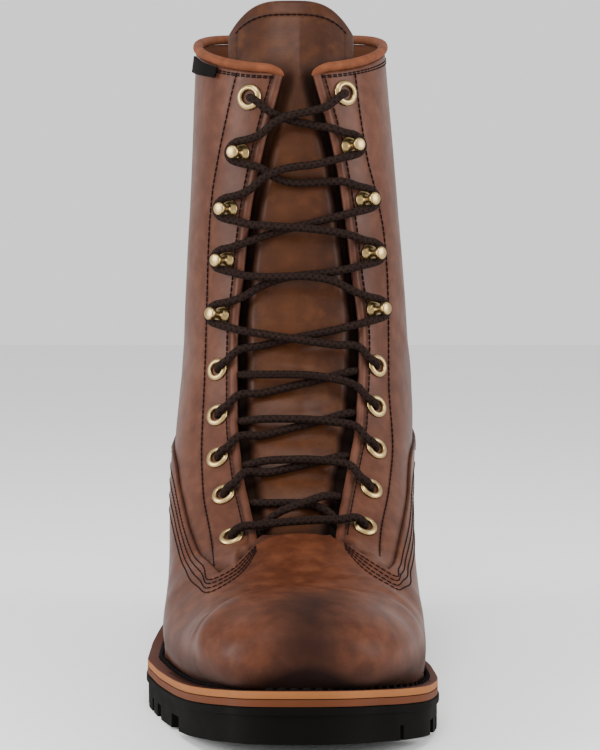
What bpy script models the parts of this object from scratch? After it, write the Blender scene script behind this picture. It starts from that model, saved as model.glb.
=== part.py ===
# Logger boot for the right foot, at real size.
# It stands on z = 0 with its toe towards -Y and its medial side towards +X.
# Sizes are in millimetres. A place is given as x, forward distance from the heel's back, and height.
import math
from collections import namedtuple

import bmesh
import bpy
import numpy as np
from mathutils import Vector

MM = 0.001
HEEL_CENTRE = 42.0      # forward distance of the origin
LATERAL, MEDIAL = -1, 1
SIDE_NAME = {LATERAL: "lateral", MEDIAL: "medial"}

# Sole
SOLE_LENGTH = 311.0
HEEL_ROUND = 36.0       # length of the rounded back end
TOE_ROUND = 48.0        # length of the rounded toe end
BACK_POWER = 2.2        # superellipse powers of the two ends
TOE_POWER = 2.5
TOE_SHIFT = -2.0        # the toe's tip lies this far to the lateral side
WELT_WIDTH = {LATERAL: 7.0, MEDIAL: 5.5}
WELT_TOE, WELT_BACK = 7.5, 5.5
UPPER_CLEARANCE = 0.65  # its lower edge is a chord of the bent welt between sections
SEAM_GAP = 0.3          # clearance between pieces that touch
WELT_THICK = 2.8
MIDSOLE_THICK = 2.5
TAN_STACK = WELT_THICK + SEAM_GAP + MIDSOLE_THICK
TREAD_DEPTH = 5.5
SOLE_STACK = 18.9       # from the welt's top to the ground at the ball
BASE_DROP = SOLE_STACK - TREAD_DEPTH
TAN_INSET = 0.5         # the rubber stands this far proud of the tan edge
MOULD_STEP = 0.8
LUGS_START = 146.0
HEEL_BREAST = 76.0
HEEL_WAIST = 22.0       # height at which the heel's side starts to taper
HEEL_TAPER = 2.5
BREAST_RAKE = 7.0
INSOLE_THICK = 4.5

# Upper
WALL = 1.8              # quarter leather with its lining
LAYER = 1.3             # vamp and counter lie this much over the quarters
TONGUE_THICK = 3.0
TONGUE_DROP = WALL + 1.2
TONGUE_HALF = 31.0
TONGUE_TOP_HALF = 30.5
TONGUE_ARCH = 14.0
TONGUE_LEAN = 13.0
TONGUE_TOP = 291.0
ROLL_RADIUS = 2.3
LACE_RADIUS = 1.7
LACE_LOW, LACE_CROSSING, LACE_HIGH = -0.6, 0.9, 2.7    # lifts of its middle over the quarters' face
LACE_UNDER_EDGE = 2.5   # each strand starts this far under the quarter's edge
LACE_TO_HOLE = 6.8      # and stops this far from the middle of an eyelet
LACE_TO_NECK = 5.5      # or of a hook
LAST_CROSSING_X = 11.0  # the last crossing slips under the bar between its eyelets
LAST_CROSSING_RISE = 9.5
BAR_BOW = 3.0

SoleRow = namedtuple("SoleRow", "s lateral medial")
SOLE_ROWS = (
    SoleRow(0, -38.5, 37.0),
    SoleRow(40, -39.0, 38.0),
    SoleRow(85, -42.0, 36.0),
    SoleRow(110, -48.0, 34.5),
    SoleRow(130, -54.0, 35.5),
    SoleRow(150, -60.0, 39.5),
    SoleRow(170, -62.0, 44.0),
    SoleRow(195, -61.8, 49.6),
    SoleRow(213, -58.0, 52.4),
    SoleRow(235, -51.5, 53.2),
    SoleRow(260, -43.5, 49.4),
    SoleRow(284, -34.0, 38.8),
    SoleRow(296, -30.5, 32.0),
    SoleRow(311, -33.0, 30.0),
)

SeatRow = namedtuple("SeatRow", "s top")
SEAT_ROWS = (
    SeatRow(0, 49.0),
    SeatRow(40, 49.0),
    SeatRow(60, 48.2),
    SeatRow(85, 43.8),
    SeatRow(110, 35.3),
    SeatRow(130, 28.0),
    SeatRow(150, 22.3),
    SeatRow(165, 19.7),
    SeatRow(180, SOLE_STACK),
    SeatRow(215, SOLE_STACK),
    SeatRow(240, 19.9),
    SeatRow(260, 21.8),
    SeatRow(280, 24.6),
    SeatRow(296, 27.4),
    SeatRow(311, 30.2),
)

# One row for each section of the last, from the toe's tip to the collar.
# foot is where the section ends below or behind: on the sole it has no height of its own.
# lateral and medial are the widest places, at the share widest of the way from foot to top.
# front and back are the superellipse powers of the two quarters, and bow lifts the middle.
Section = namedtuple("Section", "foot_s foot_z top_s top_z ridge lateral medial widest front back bow")
SECTIONS = (
    Section(301.9, None, 302.6, 31.0, -2.0, -2.5, -1.5, 0.50, 2.2, 2.0, 0),
    Section(301.0, None, 304.3, 38.0, -2.0, -17.5, 13.0, 0.40, 2.2, 2.0, 0),
    Section(295.0, None, 302.0, 46.5, -1.8, -26.0, 24.5, 0.35, 2.2, 2.0, 0),
    Section(283.0, None, 292.0, 53.0, -1.5, -33.5, 34.5, 0.33, 2.2, 2.0, 0),
    Section(267.0, None, 272.0, 55.5, -1.0, -39.5, 41.5, 0.32, 2.2, 2.0, 0),
    Section(245.0, None, 243.0, 53.0, -1.0, -46.0, 46.2, 0.32, 2.2, 2.0, 0),
    Section(222.0, None, 217.0, 57.0, -1.0, -51.5, 47.6, 0.32, 2.2, 2.0, 0),
    Section(205.0, None, 198.0, 63.0, -1.0, -53.2, 48.0, 0.33, 2.3, 2.0, 0),
    Section(192.0, None, 186.0, 67.5, -1.0, -53.4, 47.8, 0.34, 2.35, 2.0, 0),
    Section(175.0, None, 174.0, 77.0, -1.0, -53.4, 47.6, 0.35, 2.4, 2.0, 0),
    Section(152.0, None, 161.5, 90.0, -1.0, -53.8, 47.4, 0.38, 2.4, 2.0, 0),
    Section(125.0, None, 149.0, 106.0, -1.0, -54.8, 47.6, 0.42, 2.4, 2.0, 0),
    Section(95.0, None, 140.0, 123.0, -0.5, -55.6, 48.6, 0.46, 2.35, 2.0, 0),
    Section(60.0, None, 135.0, 141.0, 0.0, -55.7, 50.2, 0.48, 2.3, 2.0, 0),
    Section(25.0, None, 132.5, 157.0, 0.0, -55.3, 51.2, 0.50, 2.3, 1.9, 0),
    Section(7.1, 49.65, 131.5, 171.0, 0.0, -54.4, 51.0, 0.52, 2.3, 1.9, 0),
    Section(3.0, 70.0, 131.0, 183.0, -0.5, -53.2, 49.4, 0.54, 2.3, 1.9, 0),
    Section(6.0, 97.0, 130.5, 196.0, -1.0, -52.2, 47.9, 0.56, 2.3, 1.9, 1),
    Section(11.0, 128.0, 130.0, 209.0, -1.7, -51.1, 46.2, 0.56, 2.3, 1.9, 2),
    Section(13.0, 162.0, 129.5, 222.0, -2.4, -49.8, 44.3, 0.56, 2.3, 1.9, 3),
    Section(12.0, 200.0, 129.0, 235.0, -3.0, -48.8, 42.4, 0.55, 2.3, 1.9, 4),
    Section(10.0, 240.0, 128.3, 247.0, -3.5, -48.0, 40.4, 0.55, 2.3, 1.9, 4),
    Section(8.0, 282.0, 127.5, 258.0, -4.0, -47.0, 38.4, 0.55, 2.3, 1.9, 4),
)
THROAT_ROW = 8          # the last section that closes over the instep
HEEL_ROW = 15           # the first section that ends on the back seam
LAYER_TOP_ROW = 19      # above the layer's edge all round
TOP_ROW = len(SECTIONS) - 1
UPPER_COLUMNS = 12      # strips on each side of the ridge
FINE_ROWS = {0: 3, 1: 2, 12: 2, 13: 2, 14: 4}   # strips from a section to the next, where over one
SLOT_COLUMNS = 3        # of which these lie over the throat

# Edges of the open throat, by height of the section's top.
ThroatRow = namedtuple("ThroatRow", "z lateral medial")
THROAT_ROWS = (
    ThroatRow(67.5, -17.5, 14.5),
    ThroatRow(78, -20.5, 16.5),
    ThroatRow(92, -24.0, 19.7),
    ThroatRow(115, -26.9, 24.3),
    ThroatRow(150, -27.4, 26.1),
    ThroatRow(177, -24.8, 22.8),
    ThroatRow(200, -21.8, 19.6),
    ThroatRow(224, -16.5, 15.2),
    ThroatRow(258, -7.2, 5.5),
)

# Edge of the vamp and counter layer in the side view. The layer lies ahead of it and below it.
EdgePoint = namedtuple("EdgePoint", "s z")
LAYER_EDGE = (
    EdgePoint(192, 90),
    EdgePoint(191, 60),
    EdgePoint(186, 51),
    EdgePoint(178, 48),
    EdgePoint(168, 49),
    EdgePoint(159, 53),
    EdgePoint(151, 60),
    EdgePoint(146, 70),
    EdgePoint(141, 81),
    EdgePoint(133, 89),
    EdgePoint(120, 94),
    EdgePoint(90, 98),
    EdgePoint(50, 104),
    EdgePoint(-10, 113),
)

# Lacing hardware from the top down. The medial one of each pair sits higher by its rise.
Pair = namedtuple("Pair", "kind z rise lateral medial")
PAIRS = (
    Pair("eyelet", 248, 2.0, -21.8, 19.6),
    Pair("hook", 224, 3.0, -25.5, 21.5),
    Pair("hook", 200, 4.0, -30.5, 27.5),
    Pair("hook", 178, 3.0, -32.0, 30.0),
    Pair("hook", 154, 2.5, -34.0, 32.0),
    Pair("eyelet", 131, 1.5, -35.6, 33.4),
    Pair("eyelet", 112, 3.5, -35.3, 32.7),
    Pair("eyelet", 95, 3.5, -34.8, 32.3),
    Pair("eyelet", 81, 2.0, -31.8, 29.7),
    Pair("eyelet", 66, 3.5, -27.9, 26.7),
)

# Tread grooves, by where they meet the lateral and the medial edge.
Groove = namedtuple("Groove", "lateral medial width")
GROOVES = (
    Groove(245, 258, 7.0),
    Groove(221, 236, 5.5),
    Groove(198, 214, 5.5),
    Groove(175, 192, 5.5),
)
SPINE_GROOVES = (-17.0, 15.0)
HEEL_GROOVES = (24.0, 48.0)

# Turned outlines of the brass pieces: radius and height over the leather.
TurnPoint = namedtuple("TurnPoint", "radius height")
EYELET_HOLE = 3.5
EYELET_OUTLINE = (
    TurnPoint(2.3, -1.6),
    TurnPoint(3.1, -1.6),
    TurnPoint(3.1, 0.8),
    TurnPoint(5.3, 0.8),
    TurnPoint(4.6, 1.8),
    TurnPoint(2.8, 1.8),
)
HOOK_OUTLINE = (
    TurnPoint(0.0, 0.2),
    TurnPoint(4.2, 0.2),
    TurnPoint(3.6, 1.2),
    TurnPoint(1.5, 1.6),
    TurnPoint(1.5, 5.4),
    TurnPoint(2.8, 6.0),
    TurnPoint(2.4, 8.2),
    TurnPoint(0.0, 8.8),
)
TAG_DROP, TAG_ROWS = 0.03, 0.34     # rows of the upper
TAG_SHARE, TAG_WIDTH = 0.22, 0.19   # shares of the upper's half
TAG_LIFT, TAG_THICK = 0.5, 0.8
EYELET_FACETS, HOOK_FACETS, LACE_SIDES, ROLL_SIDES = 10, 8, 6, 7

LEATHER = ((0.235, 0.095, 0.048), 0.45, 0.0)
TONGUE_LEATHER = ((0.20, 0.085, 0.035), 0.5, 0.0)
TAN_LEATHER = ((0.50, 0.27, 0.12), 0.6, 0.0)
LINING = ((0.42, 0.27, 0.16), 0.8, 0.0)
RUBBER = ((0.012, 0.011, 0.010), 0.6, 0.0)
BRASS = ((0.55, 0.45, 0.24), 0.35, 1.0)
CORD = ((0.03, 0.018, 0.014), 0.85, 0.0)
LABEL = ((0.01, 0.01, 0.01), 0.8, 0.0)


def place(x, s, z):
    return Vector((x, HEEL_CENTRE - s, z)) * MM


def track(knots, values):
    """A smooth curve through the values, with no overshoot between them."""
    gap = np.diff(knots)
    rise = np.diff(values) / gap
    slope = np.zeros(len(values))
    slope[0], slope[-1] = rise[0], rise[-1]
    for i in range(1, len(values) - 1):
        if rise[i - 1] * rise[i] > 0:
            slope[i] = 2 * rise[i - 1] * rise[i] / (rise[i - 1] + rise[i])

    def at(where):
        i = int(np.clip(np.searchsorted(knots, where) - 1, 0, len(gap) - 1))
        t = (where - knots[i]) / gap[i]
        return (values[i] * (1 + 2 * t) * (1 - t) ** 2 + values[i + 1] * t * t * (3 - 2 * t)
                + gap[i] * (slope[i] * t * (1 - t) ** 2 + slope[i + 1] * t * t * (t - 1)))
    return at


def column(rows, name, key):
    return track([getattr(row, key) for row in rows], [getattr(row, name) for row in rows])


sole_half = {LATERAL: column(SOLE_ROWS, "lateral", "s"), MEDIAL: column(SOLE_ROWS, "medial", "s")}
seat = column(SEAT_ROWS, "top", "s")
throat_half = {LATERAL: column(THROAT_ROWS, "lateral", "z"), MEDIAL: column(THROAT_ROWS, "medial", "z")}
row_numbers = list(range(len(SECTIONS)))
section = {name: track(row_numbers, [getattr(row, name) for row in SECTIONS])
           for name in Section._fields if name != "foot_z"}
back_height = track(row_numbers[HEEL_ROW:], [row.foot_z for row in SECTIONS[HEEL_ROW:]])


def sole_span(inside, welts):
    """First and last forward distance of an outline set in from the sole's edge."""
    return inside + welts * WELT_BACK, SOLE_LENGTH - inside - welts * WELT_TOE


def sole_edge(side, s, inside=0.0, welts=0.0):
    """x of the sole's edge, set in by a distance and by a share of the welt's width."""
    back, tip = sole_span(inside, welts)
    u = (s - back) / (tip - back) * SOLE_LENGTH
    behind = max(0.0, (HEEL_ROUND - u) / HEEL_ROUND)
    ahead = max(0.0, (u - SOLE_LENGTH + TOE_ROUND) / TOE_ROUND)
    rounding = max(0.0, 1 - behind ** BACK_POWER) ** (1 / BACK_POWER)
    rounding *= max(0.0, 1 - ahead ** TOE_POWER) ** (1 / TOE_POWER)
    centre = TOE_SHIFT * min(1.0, max(0.0, u / SOLE_LENGTH))
    reach = sole_half[side](u) - side * (inside + welts * WELT_WIDTH[side])
    return centre + (reach - centre) * rounding


def tread(s):
    """Height of the forefoot lugs' underside."""
    return max(0.0, seat(s) - SOLE_STACK) if s > 190 else 0.0


def upper_edge_height(s):
    """The upper's lower edge rests on the welt."""
    return seat(s) + UPPER_CLEARANCE


def quarter_share(t, side):
    """Share of a half section that lies ahead of its widest place."""
    reach = abs(section[SIDE_NAME[side]](t) - section["ridge"](t)) + 0.01
    foot = foot_of(t, side)
    depth = math.hypot(section["top_s"](t) - foot[1], section["top_z"](t) - foot[2]) + 0.01
    widest = section["widest"](t)
    ahead = math.hypot(reach, depth * (1 - widest))
    below = math.hypot(abs(section[SIDE_NAME[side]](t) - foot[0]), depth * widest)
    return ahead / (ahead + below)


def foot_of(t, side):
    """x, forward distance and height of the lower or rear end of a section."""
    s = section["foot_s"](t)
    if t >= HEEL_ROW:
        return section["ridge"](t), s, back_height(t)
    return sole_edge(side, s, LAYER + SEAM_GAP, 1.0), s, upper_edge_height(s)


def upper_form(t, side, v):
    """A point of the quarters' outer face: v runs from 0 at the ridge to 1 at the foot."""
    foot_x, foot_s, foot_z = foot_of(t, side)
    ridge = section["ridge"](t)
    reach = section[SIDE_NAME[side]](t) - ridge
    widest = section["widest"](t)
    share = quarter_share(t, side)
    if v <= share:
        angle = v / share * math.pi / 2
        power = 2 / section["front"](t)
        out = math.sin(angle) ** power
        along = widest + (1 - widest) * max(0.0, math.cos(angle)) ** power
    else:
        power = section["back"](t)
        base = min(0.999, max(0.0, (foot_x - ridge) / reach)) if abs(reach) > 1e-6 else 0.0
        last = math.acos(base ** (power / 2))
        angle = (v - share) / (1 - share) * last
        out = max(0.0, math.cos(angle)) ** (2 / power)
        along = widest * (1 - (math.sin(angle) / math.sin(last)) ** (2 / power))
    return np.array((
        ridge + reach * out,
        foot_s + along * (section["top_s"](t) - foot_s),
        foot_z + along * (section["top_z"](t) - foot_z) + 4 * section["bow"](t) * along * (1 - along),
    ))


def upper_normal(t, side, v):
    step = 0.01
    if t < 0.02:
        return np.array((0.0, 1.0, 0.0))
    low, high = max(0.02, t - step), min(TOP_ROW, t + step)
    near, far = max(0.0, v - step), min(1.0, v + step)
    along = upper_form(high, side, v) - upper_form(low, side, v)
    across = upper_form(t, side, far) - upper_form(t, side, near)
    normal = np.cross(along, across) * side
    return normal / (np.linalg.norm(normal) + 1e-12)


def upper_point(t, side, v, lift=0.0):
    return upper_form(t, side, v) + lift * upper_normal(t, side, v)


def share_at(t, side, x):
    """The v of a point ahead of the widest place, from its x."""
    ridge = section["ridge"](t)
    out = (x - ridge) / (section[SIDE_NAME[side]](t) - ridge)
    out = min(1.0, max(0.0, out))
    return math.asin(out ** (section["front"](t) / 2)) / (math.pi / 2) * quarter_share(t, side)


def throat_share(t, side):
    return share_at(t, side, throat_half[side](max(section["top_z"](max(t, THROAT_ROW)), 67.5)))


def front_point(x, z, lift=0.0):
    """A point over the throat or the quarters beside it, from its x and height."""
    side = MEDIAL if x > section["ridge"](THROAT_ROW) else LATERAL
    low, high = 4.0, float(TOP_ROW)
    for _ in range(40):
        middle = (low + high) / 2
        if upper_form(middle, side, share_at(middle, side, x))[2] < z:
            low = middle
        else:
            high = middle
    v = share_at(low, side, x)
    return upper_form(low, side, v) + lift * upper_normal(low, side, v), upper_normal(low, side, v)


def material(name, finish):
    colour, roughness, metallic = finish
    made = bpy.data.materials.new(name)
    made.use_nodes = True
    shader = made.node_tree.nodes["Principled BSDF"]
    shader.inputs["Base Color"].default_value = (*colour, 1.0)
    shader.inputs["Roughness"].default_value = roughness
    shader.inputs["Metallic"].default_value = metallic
    made.diffuse_color = (*colour, 1.0)
    return made


def solid(name, points, faces, finish, helper=False, smooth_angle=40):
    """A named object from points in millimetres and the faces between them."""
    mesh = bpy.data.meshes.new(name)
    mesh.from_pydata([place(*point) for point in points], [], faces)
    work = bmesh.new()
    work.from_mesh(mesh)
    bmesh.ops.remove_doubles(work, verts=work.verts, dist=1e-6)
    bmesh.ops.recalc_face_normals(work, faces=work.faces)
    work.to_mesh(mesh)
    work.free()
    mesh.shade_smooth()
    mesh.set_sharp_from_angle(angle=math.radians(smooth_angle))
    made = bpy.data.objects.new(name, mesh)
    bpy.context.collection.objects.link(made)
    if helper:
        made.hide_render = True
        made.display_type = "WIRE"
    else:
        mesh.materials.append(material(name + "_finish", finish))
    return made


def boolean(target, other, operation, solver="EXACT"):
    modifier = target.modifiers.new(operation.lower(), "BOOLEAN")
    modifier.operation = operation
    modifier.object = other
    modifier.solver = solver


def triangles(face):
    """Splits a face the same way on every sheet, so that two sheets never cross between their points."""
    return [(face[0], face[k], face[k + 1]) for k in range(1, len(face) - 1)]


def shell(name, outer, inner, faces, finish, helper=False):
    """Closes two like sheets of points along the edges that bound their faces."""
    count = len(outer)
    used = {}
    for face in faces:
        for a, b in zip(face, face[1:] + face[:1]):
            used[(a, b)] = True
    rims = [(a, b) for a, b in used if (b, a) not in used]
    split = [corner for face in faces for corner in triangles(face)]
    closed = split + [tuple(count + i for i in reversed(face)) for face in split]
    closed += [(b, a, count + a, count + b) for a, b in rims]
    return solid(name, list(outer) + list(inner), closed, finish, helper)


def upper_sheet(last_row, open_throat):
    """Places on the upper's form as (t, side, v), and the faces between them."""
    columns, slot_columns = UPPER_COLUMNS, SLOT_COLUMNS
    rows = [0.0]
    for number in range(last_row):
        steps = FINE_ROWS.get(number, 1)
        rows += [number + (i + 1) / steps for i in range(steps)]
    spots, index = [], {}

    def spot(i, j):
        t = rows[i]
        side = LATERAL if j < 0 else MEDIAL
        key = (i, j)
        if t == 0:
            key = (i, 0)
        elif t >= HEEL_ROW and abs(j) == columns:
            key = (i, columns)
        if key not in index:
            opening = throat_share(t, side)
            k = abs(key[1])
            if k < slot_columns:
                v = opening * k / slot_columns
            else:
                v = opening + (1 - opening) * (k - slot_columns) / (columns - slot_columns)
            index[key] = len(spots)
            spots.append((t, side, v))
        return index[key]

    faces = []
    for i in range(len(rows) - 1):
        for j in range(-columns, columns):
            if open_throat and rows[i] >= THROAT_ROW and min(abs(j), abs(j + 1)) < slot_columns:
                continue
            ring = []
            for corner in (spot(i, j), spot(i, j + 1), spot(i + 1, j + 1), spot(i + 1, j)):
                if corner not in ring:
                    ring.append(corner)
            if len(ring) > 2:
                faces.append(ring)
    return spots, faces


def sheet_point(t, side, v, lift, drop=0.0):
    """A point off the upper's form. Its lower rim runs level along the welt, lower by the drop."""
    point = upper_point(t, side, v, lift)
    if t < HEEL_ROW:
        level = upper_edge_height(point[1]) - drop
        point[2] = level if v > 0.999 else max(point[2], level + 0.1)
    return point


def make_upper():
    spots, faces = upper_sheet(TOP_ROW, True)
    outer = [sheet_point(t, side, v, 0.0) for t, side, v in spots]
    inner = [sheet_point(t, side, v, -WALL) for t, side, v in spots]
    upper = shell("upper", outer, inner, faces, LEATHER)

    spots, faces = upper_sheet(LAYER_TOP_ROW, False)
    over = [sheet_point(t, side, v, LAYER, SEAM_GAP / 2) for t, side, v in spots]
    under = [sheet_point(t, side, v, -WALL / 2, SEAM_GAP / 2) for t, side, v in spots]
    layer = shell("vamp_layer", over, under, faces, LEATHER, helper=True)
    outline = [(point.s, point.z) for point in LAYER_EDGE]
    outline += [(LAYER_EDGE[-1].s, -20), (SOLE_LENGTH + 20, -20), (SOLE_LENGTH + 20, LAYER_EDGE[0].z)]
    keep = prism("vamp_outline", outline, 90)
    boolean(layer, keep, "INTERSECT", "MANIFOLD")
    boolean(upper, layer, "UNION", "MANIFOLD")
    boolean(upper, hole_cutter(), "DIFFERENCE", "MANIFOLD")
    return upper


def prism(name, outline, half):
    """A side-view outline stretched across the boot."""
    count = len(outline)
    points = [(-half, s, z) for s, z in outline] + [(half, s, z) for s, z in outline]
    faces = [tuple(range(count)), tuple(reversed(range(count, 2 * count)))]
    faces += [(i, (i + 1) % count, count + (i + 1) % count, count + i) for i in range(count)]
    return solid(name, points, faces, LEATHER, helper=True)


def spin_points(outline, facets, centre, normal, closed):
    """Points and faces of a turned outline standing on a face of the upper."""
    axis = Vector(normal).normalized()
    across = axis.orthogonal().normalized()
    third = axis.cross(across)
    points, faces = [], []
    for i in range(facets):
        angle = 2 * math.pi * i / facets
        spoke = across * math.cos(angle) + third * math.sin(angle)
        points += [tuple(Vector(centre) + spoke * p.radius + axis * p.height) for p in outline]
    count = len(outline)
    for i in range(facets):
        here, there = i * count, (i + 1) % facets * count
        for k in range(count if closed else count - 1):
            following = (k + 1) % count
            ring = [here + k, there + k, there + following, here + following]
            if outline[k].radius == 0:
                ring.remove(there + k)
            if outline[following].radius == 0:
                ring.remove(there + following)
            faces.append(tuple(ring))
    return points, faces


def height_of(pair, side):
    return pair.z + (pair.rise if side == MEDIAL else 0)


def hardware_spots():
    for number, pair in enumerate(PAIRS, start=1):
        for side, label in SIDE_NAME.items():
            centre, normal = front_point(getattr(pair, label), height_of(pair, side))
            yield number, pair, label, centre, normal


def hole_cutter():
    outline = (TurnPoint(0, -6), TurnPoint(EYELET_HOLE, -6), TurnPoint(EYELET_HOLE, 6), TurnPoint(0, 6))
    points, faces = [], []
    for _, pair, _, centre, normal in hardware_spots():
        if pair.kind == "eyelet":
            more, between = spin_points(outline, 8, centre, normal, False)
            faces += [tuple(i + len(points) for i in face) for face in between]
            points += more
    return solid("eyelet_holes", points, faces, LEATHER, helper=True)


def make_hardware():
    for number, pair, label, centre, normal in hardware_spots():
        if pair.kind == "eyelet":
            points, faces = spin_points(EYELET_OUTLINE, EYELET_FACETS, centre, normal, True)
        else:
            points, faces = spin_points(HOOK_OUTLINE, HOOK_FACETS, centre, normal, False)
        solid(f"{pair.kind}_{label}_{number}", points, faces, BRASS, smooth_angle=50)


def tongue_places():
    """Rows of the tongue: under the vamp, up the throat, then free above the collar."""
    shares = [i / 4 for i in range(-4, 5)]
    for t in (THROAT_ROW - 1.0, THROAT_ROW - 0.4, *range(THROAT_ROW, TOP_ROW + 1)):
        yield [(t, share, 0.0) for share in shares]
    for rise in (0.35, 0.7, 1.0):
        yield [(TOP_ROW, share, rise) for share in shares]


def tongue_point(t, share, rise, drop):
    half = TONGUE_HALF + (TONGUE_TOP_HALF - TONGUE_HALF) * rise
    half *= min(1.0, 0.75 + 0.25 * max(0.0, (t - THROAT_ROW + 1) / 3))
    x = section["ridge"](t) + share * half
    side = MEDIAL if share >= 0 else LATERAL
    point = upper_point(t, side, share_at(t, side, x), -drop)
    height = TONGUE_TOP - TONGUE_ARCH * abs(share) ** 3 - point[2]
    return point + np.array((0.0, -TONGUE_LEAN, height)) * rise


def sheet_faces(rows, columns):
    return [[i * columns + j, i * columns + j + 1, (i + 1) * columns + j + 1, (i + 1) * columns + j]
            for i in range(rows - 1) for j in range(columns - 1)]


def make_tongue():
    rows = list(tongue_places())
    outer = [tongue_point(*spot, TONGUE_DROP) for row in rows for spot in row]
    inner = [tongue_point(*spot, TONGUE_DROP + TONGUE_THICK) for row in rows for spot in row]
    shell("tongue", outer, inner, sheet_faces(len(rows), len(rows[0])), TONGUE_LEATHER)


def stations(start, end, count, round_start, round_end):
    """Forward distances that crowd together towards a rounded end."""
    for i in range(count + 1):
        u = i / count
        if round_start and round_end:
            u = (1 - math.cos(math.pi * u)) / 2
        elif round_end:
            u = math.sin(math.pi / 2 * u)
        elif round_start:
            u = 1 - math.cos(math.pi / 2 * u)
        yield start + (end - start) * u


def sole_layer(name, profile, count, finish, start=None, end=None, helper=False):
    """A bent plate of the sole's outline. The profile runs down its side as (inside, welts, height)."""
    points, faces = [], []
    rings = []
    for inside, welts, height in profile:
        back, tip = sole_span(inside, welts)
        first = back if start is None else start
        last = tip if end is None else end
        ring = []
        for s in stations(first, last, count, start is None, end is None):
            ring.append((len(points), len(points) + 1))
            points += [(sole_edge(side, s, inside, welts), s, height(s)) for side in (LATERAL, MEDIAL)]
        rings.append(ring)
    for ring in (rings[0], rings[-1]):
        faces += [(a[0], b[0], b[1], a[1]) for a, b in zip(ring, ring[1:])]
    for upper_ring, lower_ring in zip(rings, rings[1:]):
        for i in range(count):
            for k in (0, 1):
                faces.append((upper_ring[i][k], upper_ring[i + 1][k],
                              lower_ring[i + 1][k], lower_ring[i][k]))
        for i, cut in ((0, start), (count, end)):
            if cut is not None:
                faces.append((upper_ring[i][0], upper_ring[i][1], lower_ring[i][1], lower_ring[i][0]))
    return solid(name, points, faces, finish, helper, smooth_angle=35)


def below_seat(drop):
    return lambda s: seat(s) - drop


def make_outsole():
    top = TAN_STACK + SEAM_GAP
    base = sole_layer("outsole", (
        (0.0, 0.0, below_seat(top)),
        (0.0, 0.0, below_seat(top + 2.6)),
        (MOULD_STEP, 0.0, below_seat(top + 3.2)),
        (MOULD_STEP, 0.0, below_seat(BASE_DROP)),
    ), 30, RUBBER)
    lugs = sole_layer("lug_layer", (
        (MOULD_STEP, 0.0, below_seat(BASE_DROP - 1.5)),
        (MOULD_STEP, 0.0, tread),
    ), 20, RUBBER, start=LUGS_START, helper=True)
    for number, groove in enumerate(GROOVES):
        boolean(lugs, groove_cutter(f"groove_{number}", groove), "DIFFERENCE")
    for number, x in enumerate(SPINE_GROOVES):
        boolean(lugs, spine_cutter(f"spine_{number}", x), "DIFFERENCE")
    boolean(base, lugs, "UNION")
    return base


def slab(name, corners, low, high):
    """A block over a plan outline of (x, s) corners."""
    count = len(corners)
    points = [(x, s, low) for x, s in corners] + [(x, s, high(s)) for x, s in corners]
    faces = [tuple(range(count)), tuple(reversed(range(count, 2 * count)))]
    faces += [(i, (i + 1) % count, count + (i + 1) % count, count + i) for i in range(count)]
    return solid(name, points, faces, RUBBER, helper=True)


def groove_cutter(name, groove):
    """A slanting groove across the whole tread, out past both edges."""
    reach, tread_width = 90.0, 108.0
    slant = (groove.medial - groove.lateral) / tread_width
    middle = (groove.medial + groove.lateral) / 2
    corners = []
    for x, edge in ((-reach, -1), (reach, -1), (reach, 1), (-reach, 1)):
        corners.append((x, middle + slant * x + edge * groove.width / 2))
    return slab(name, corners, -10, below_seat(BASE_DROP))


def spine_cutter(name, x):
    """A lengthwise groove between the edge lugs and the middle lugs."""
    start, end, half = LUGS_START + 14, 262.0, 2.2
    corners = [(x - half, start), (x + half, start), (x + half, end), (x - half, end)]
    return slab(name, corners, -10, below_seat(BASE_DROP))


def make_heel():
    top = below_seat(BASE_DROP + SEAM_GAP)
    points, faces, rings = [], [], []
    for height, inside, breast in (
            (top, MOULD_STEP, HEEL_BREAST),
            (lambda s: HEEL_WAIST, MOULD_STEP + 0.6, HEEL_BREAST - 3.0),
            (lambda s: 0.0, HEEL_TAPER, HEEL_BREAST - BREAST_RAKE)):
        back = sole_span(inside, 0.0)[0]
        ring = []
        for s in stations(back, breast, 12, True, False):
            ring.append((len(points), len(points) + 1))
            points += [(sole_edge(side, s, inside), s, height(s)) for side in (LATERAL, MEDIAL)]
        rings.append(ring)
    for ring in (rings[0], rings[-1]):
        faces += [(a[0], b[0], b[1], a[1]) for a, b in zip(ring, ring[1:])]
    for high, low in zip(rings, rings[1:]):
        for a, b, c, d in zip(high, high[1:], low[1:], low):
            faces += [(a[k], b[k], c[k], d[k]) for k in (0, 1)]
        faces.append((high[-1][0], high[-1][1], low[-1][1], low[-1][0]))
    heel = solid("heel", points, faces, RUBBER, smooth_angle=35)
    for number, s in enumerate(HEEL_GROOVES):
        corners = [(-60, s - 2.5), (60, s - 2.5), (60, s + 2.5), (-60, s + 2.5)]
        boolean(heel, slab(f"heel_groove_{number}", corners, -10, lambda s: TREAD_DEPTH), "DIFFERENCE")
    return heel


def make_welt():
    """A ring round the upper's lower edge."""
    count = 30
    wall = LAYER + SEAM_GAP + WALL
    profile = ((TAN_INSET, 0.0, 0.0), (TAN_INSET, 0.0, WELT_THICK), (wall, 1.0, WELT_THICK), (wall, 1.0, 0.0))
    points, faces = [], []
    for inside, welts, drop in profile:
        back, tip = sole_span(inside, welts)
        line = list(stations(back, tip, count, True, True))
        loop = [(MEDIAL, s) for s in line] + [(LATERAL, s) for s in reversed(line[1:-1])]
        points += [(sole_edge(side, s, inside, welts), s, seat(s) - drop) for side, s in loop]
    size = len(loop)
    for ring in range(4):
        for i in range(size):
            following = (i + 1) % size
            a, b = ring * size, (ring + 1) % 4 * size
            faces.append((a + i, a + following, b + following, b + i))
    return solid("welt", points, faces, TAN_LEATHER)


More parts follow.
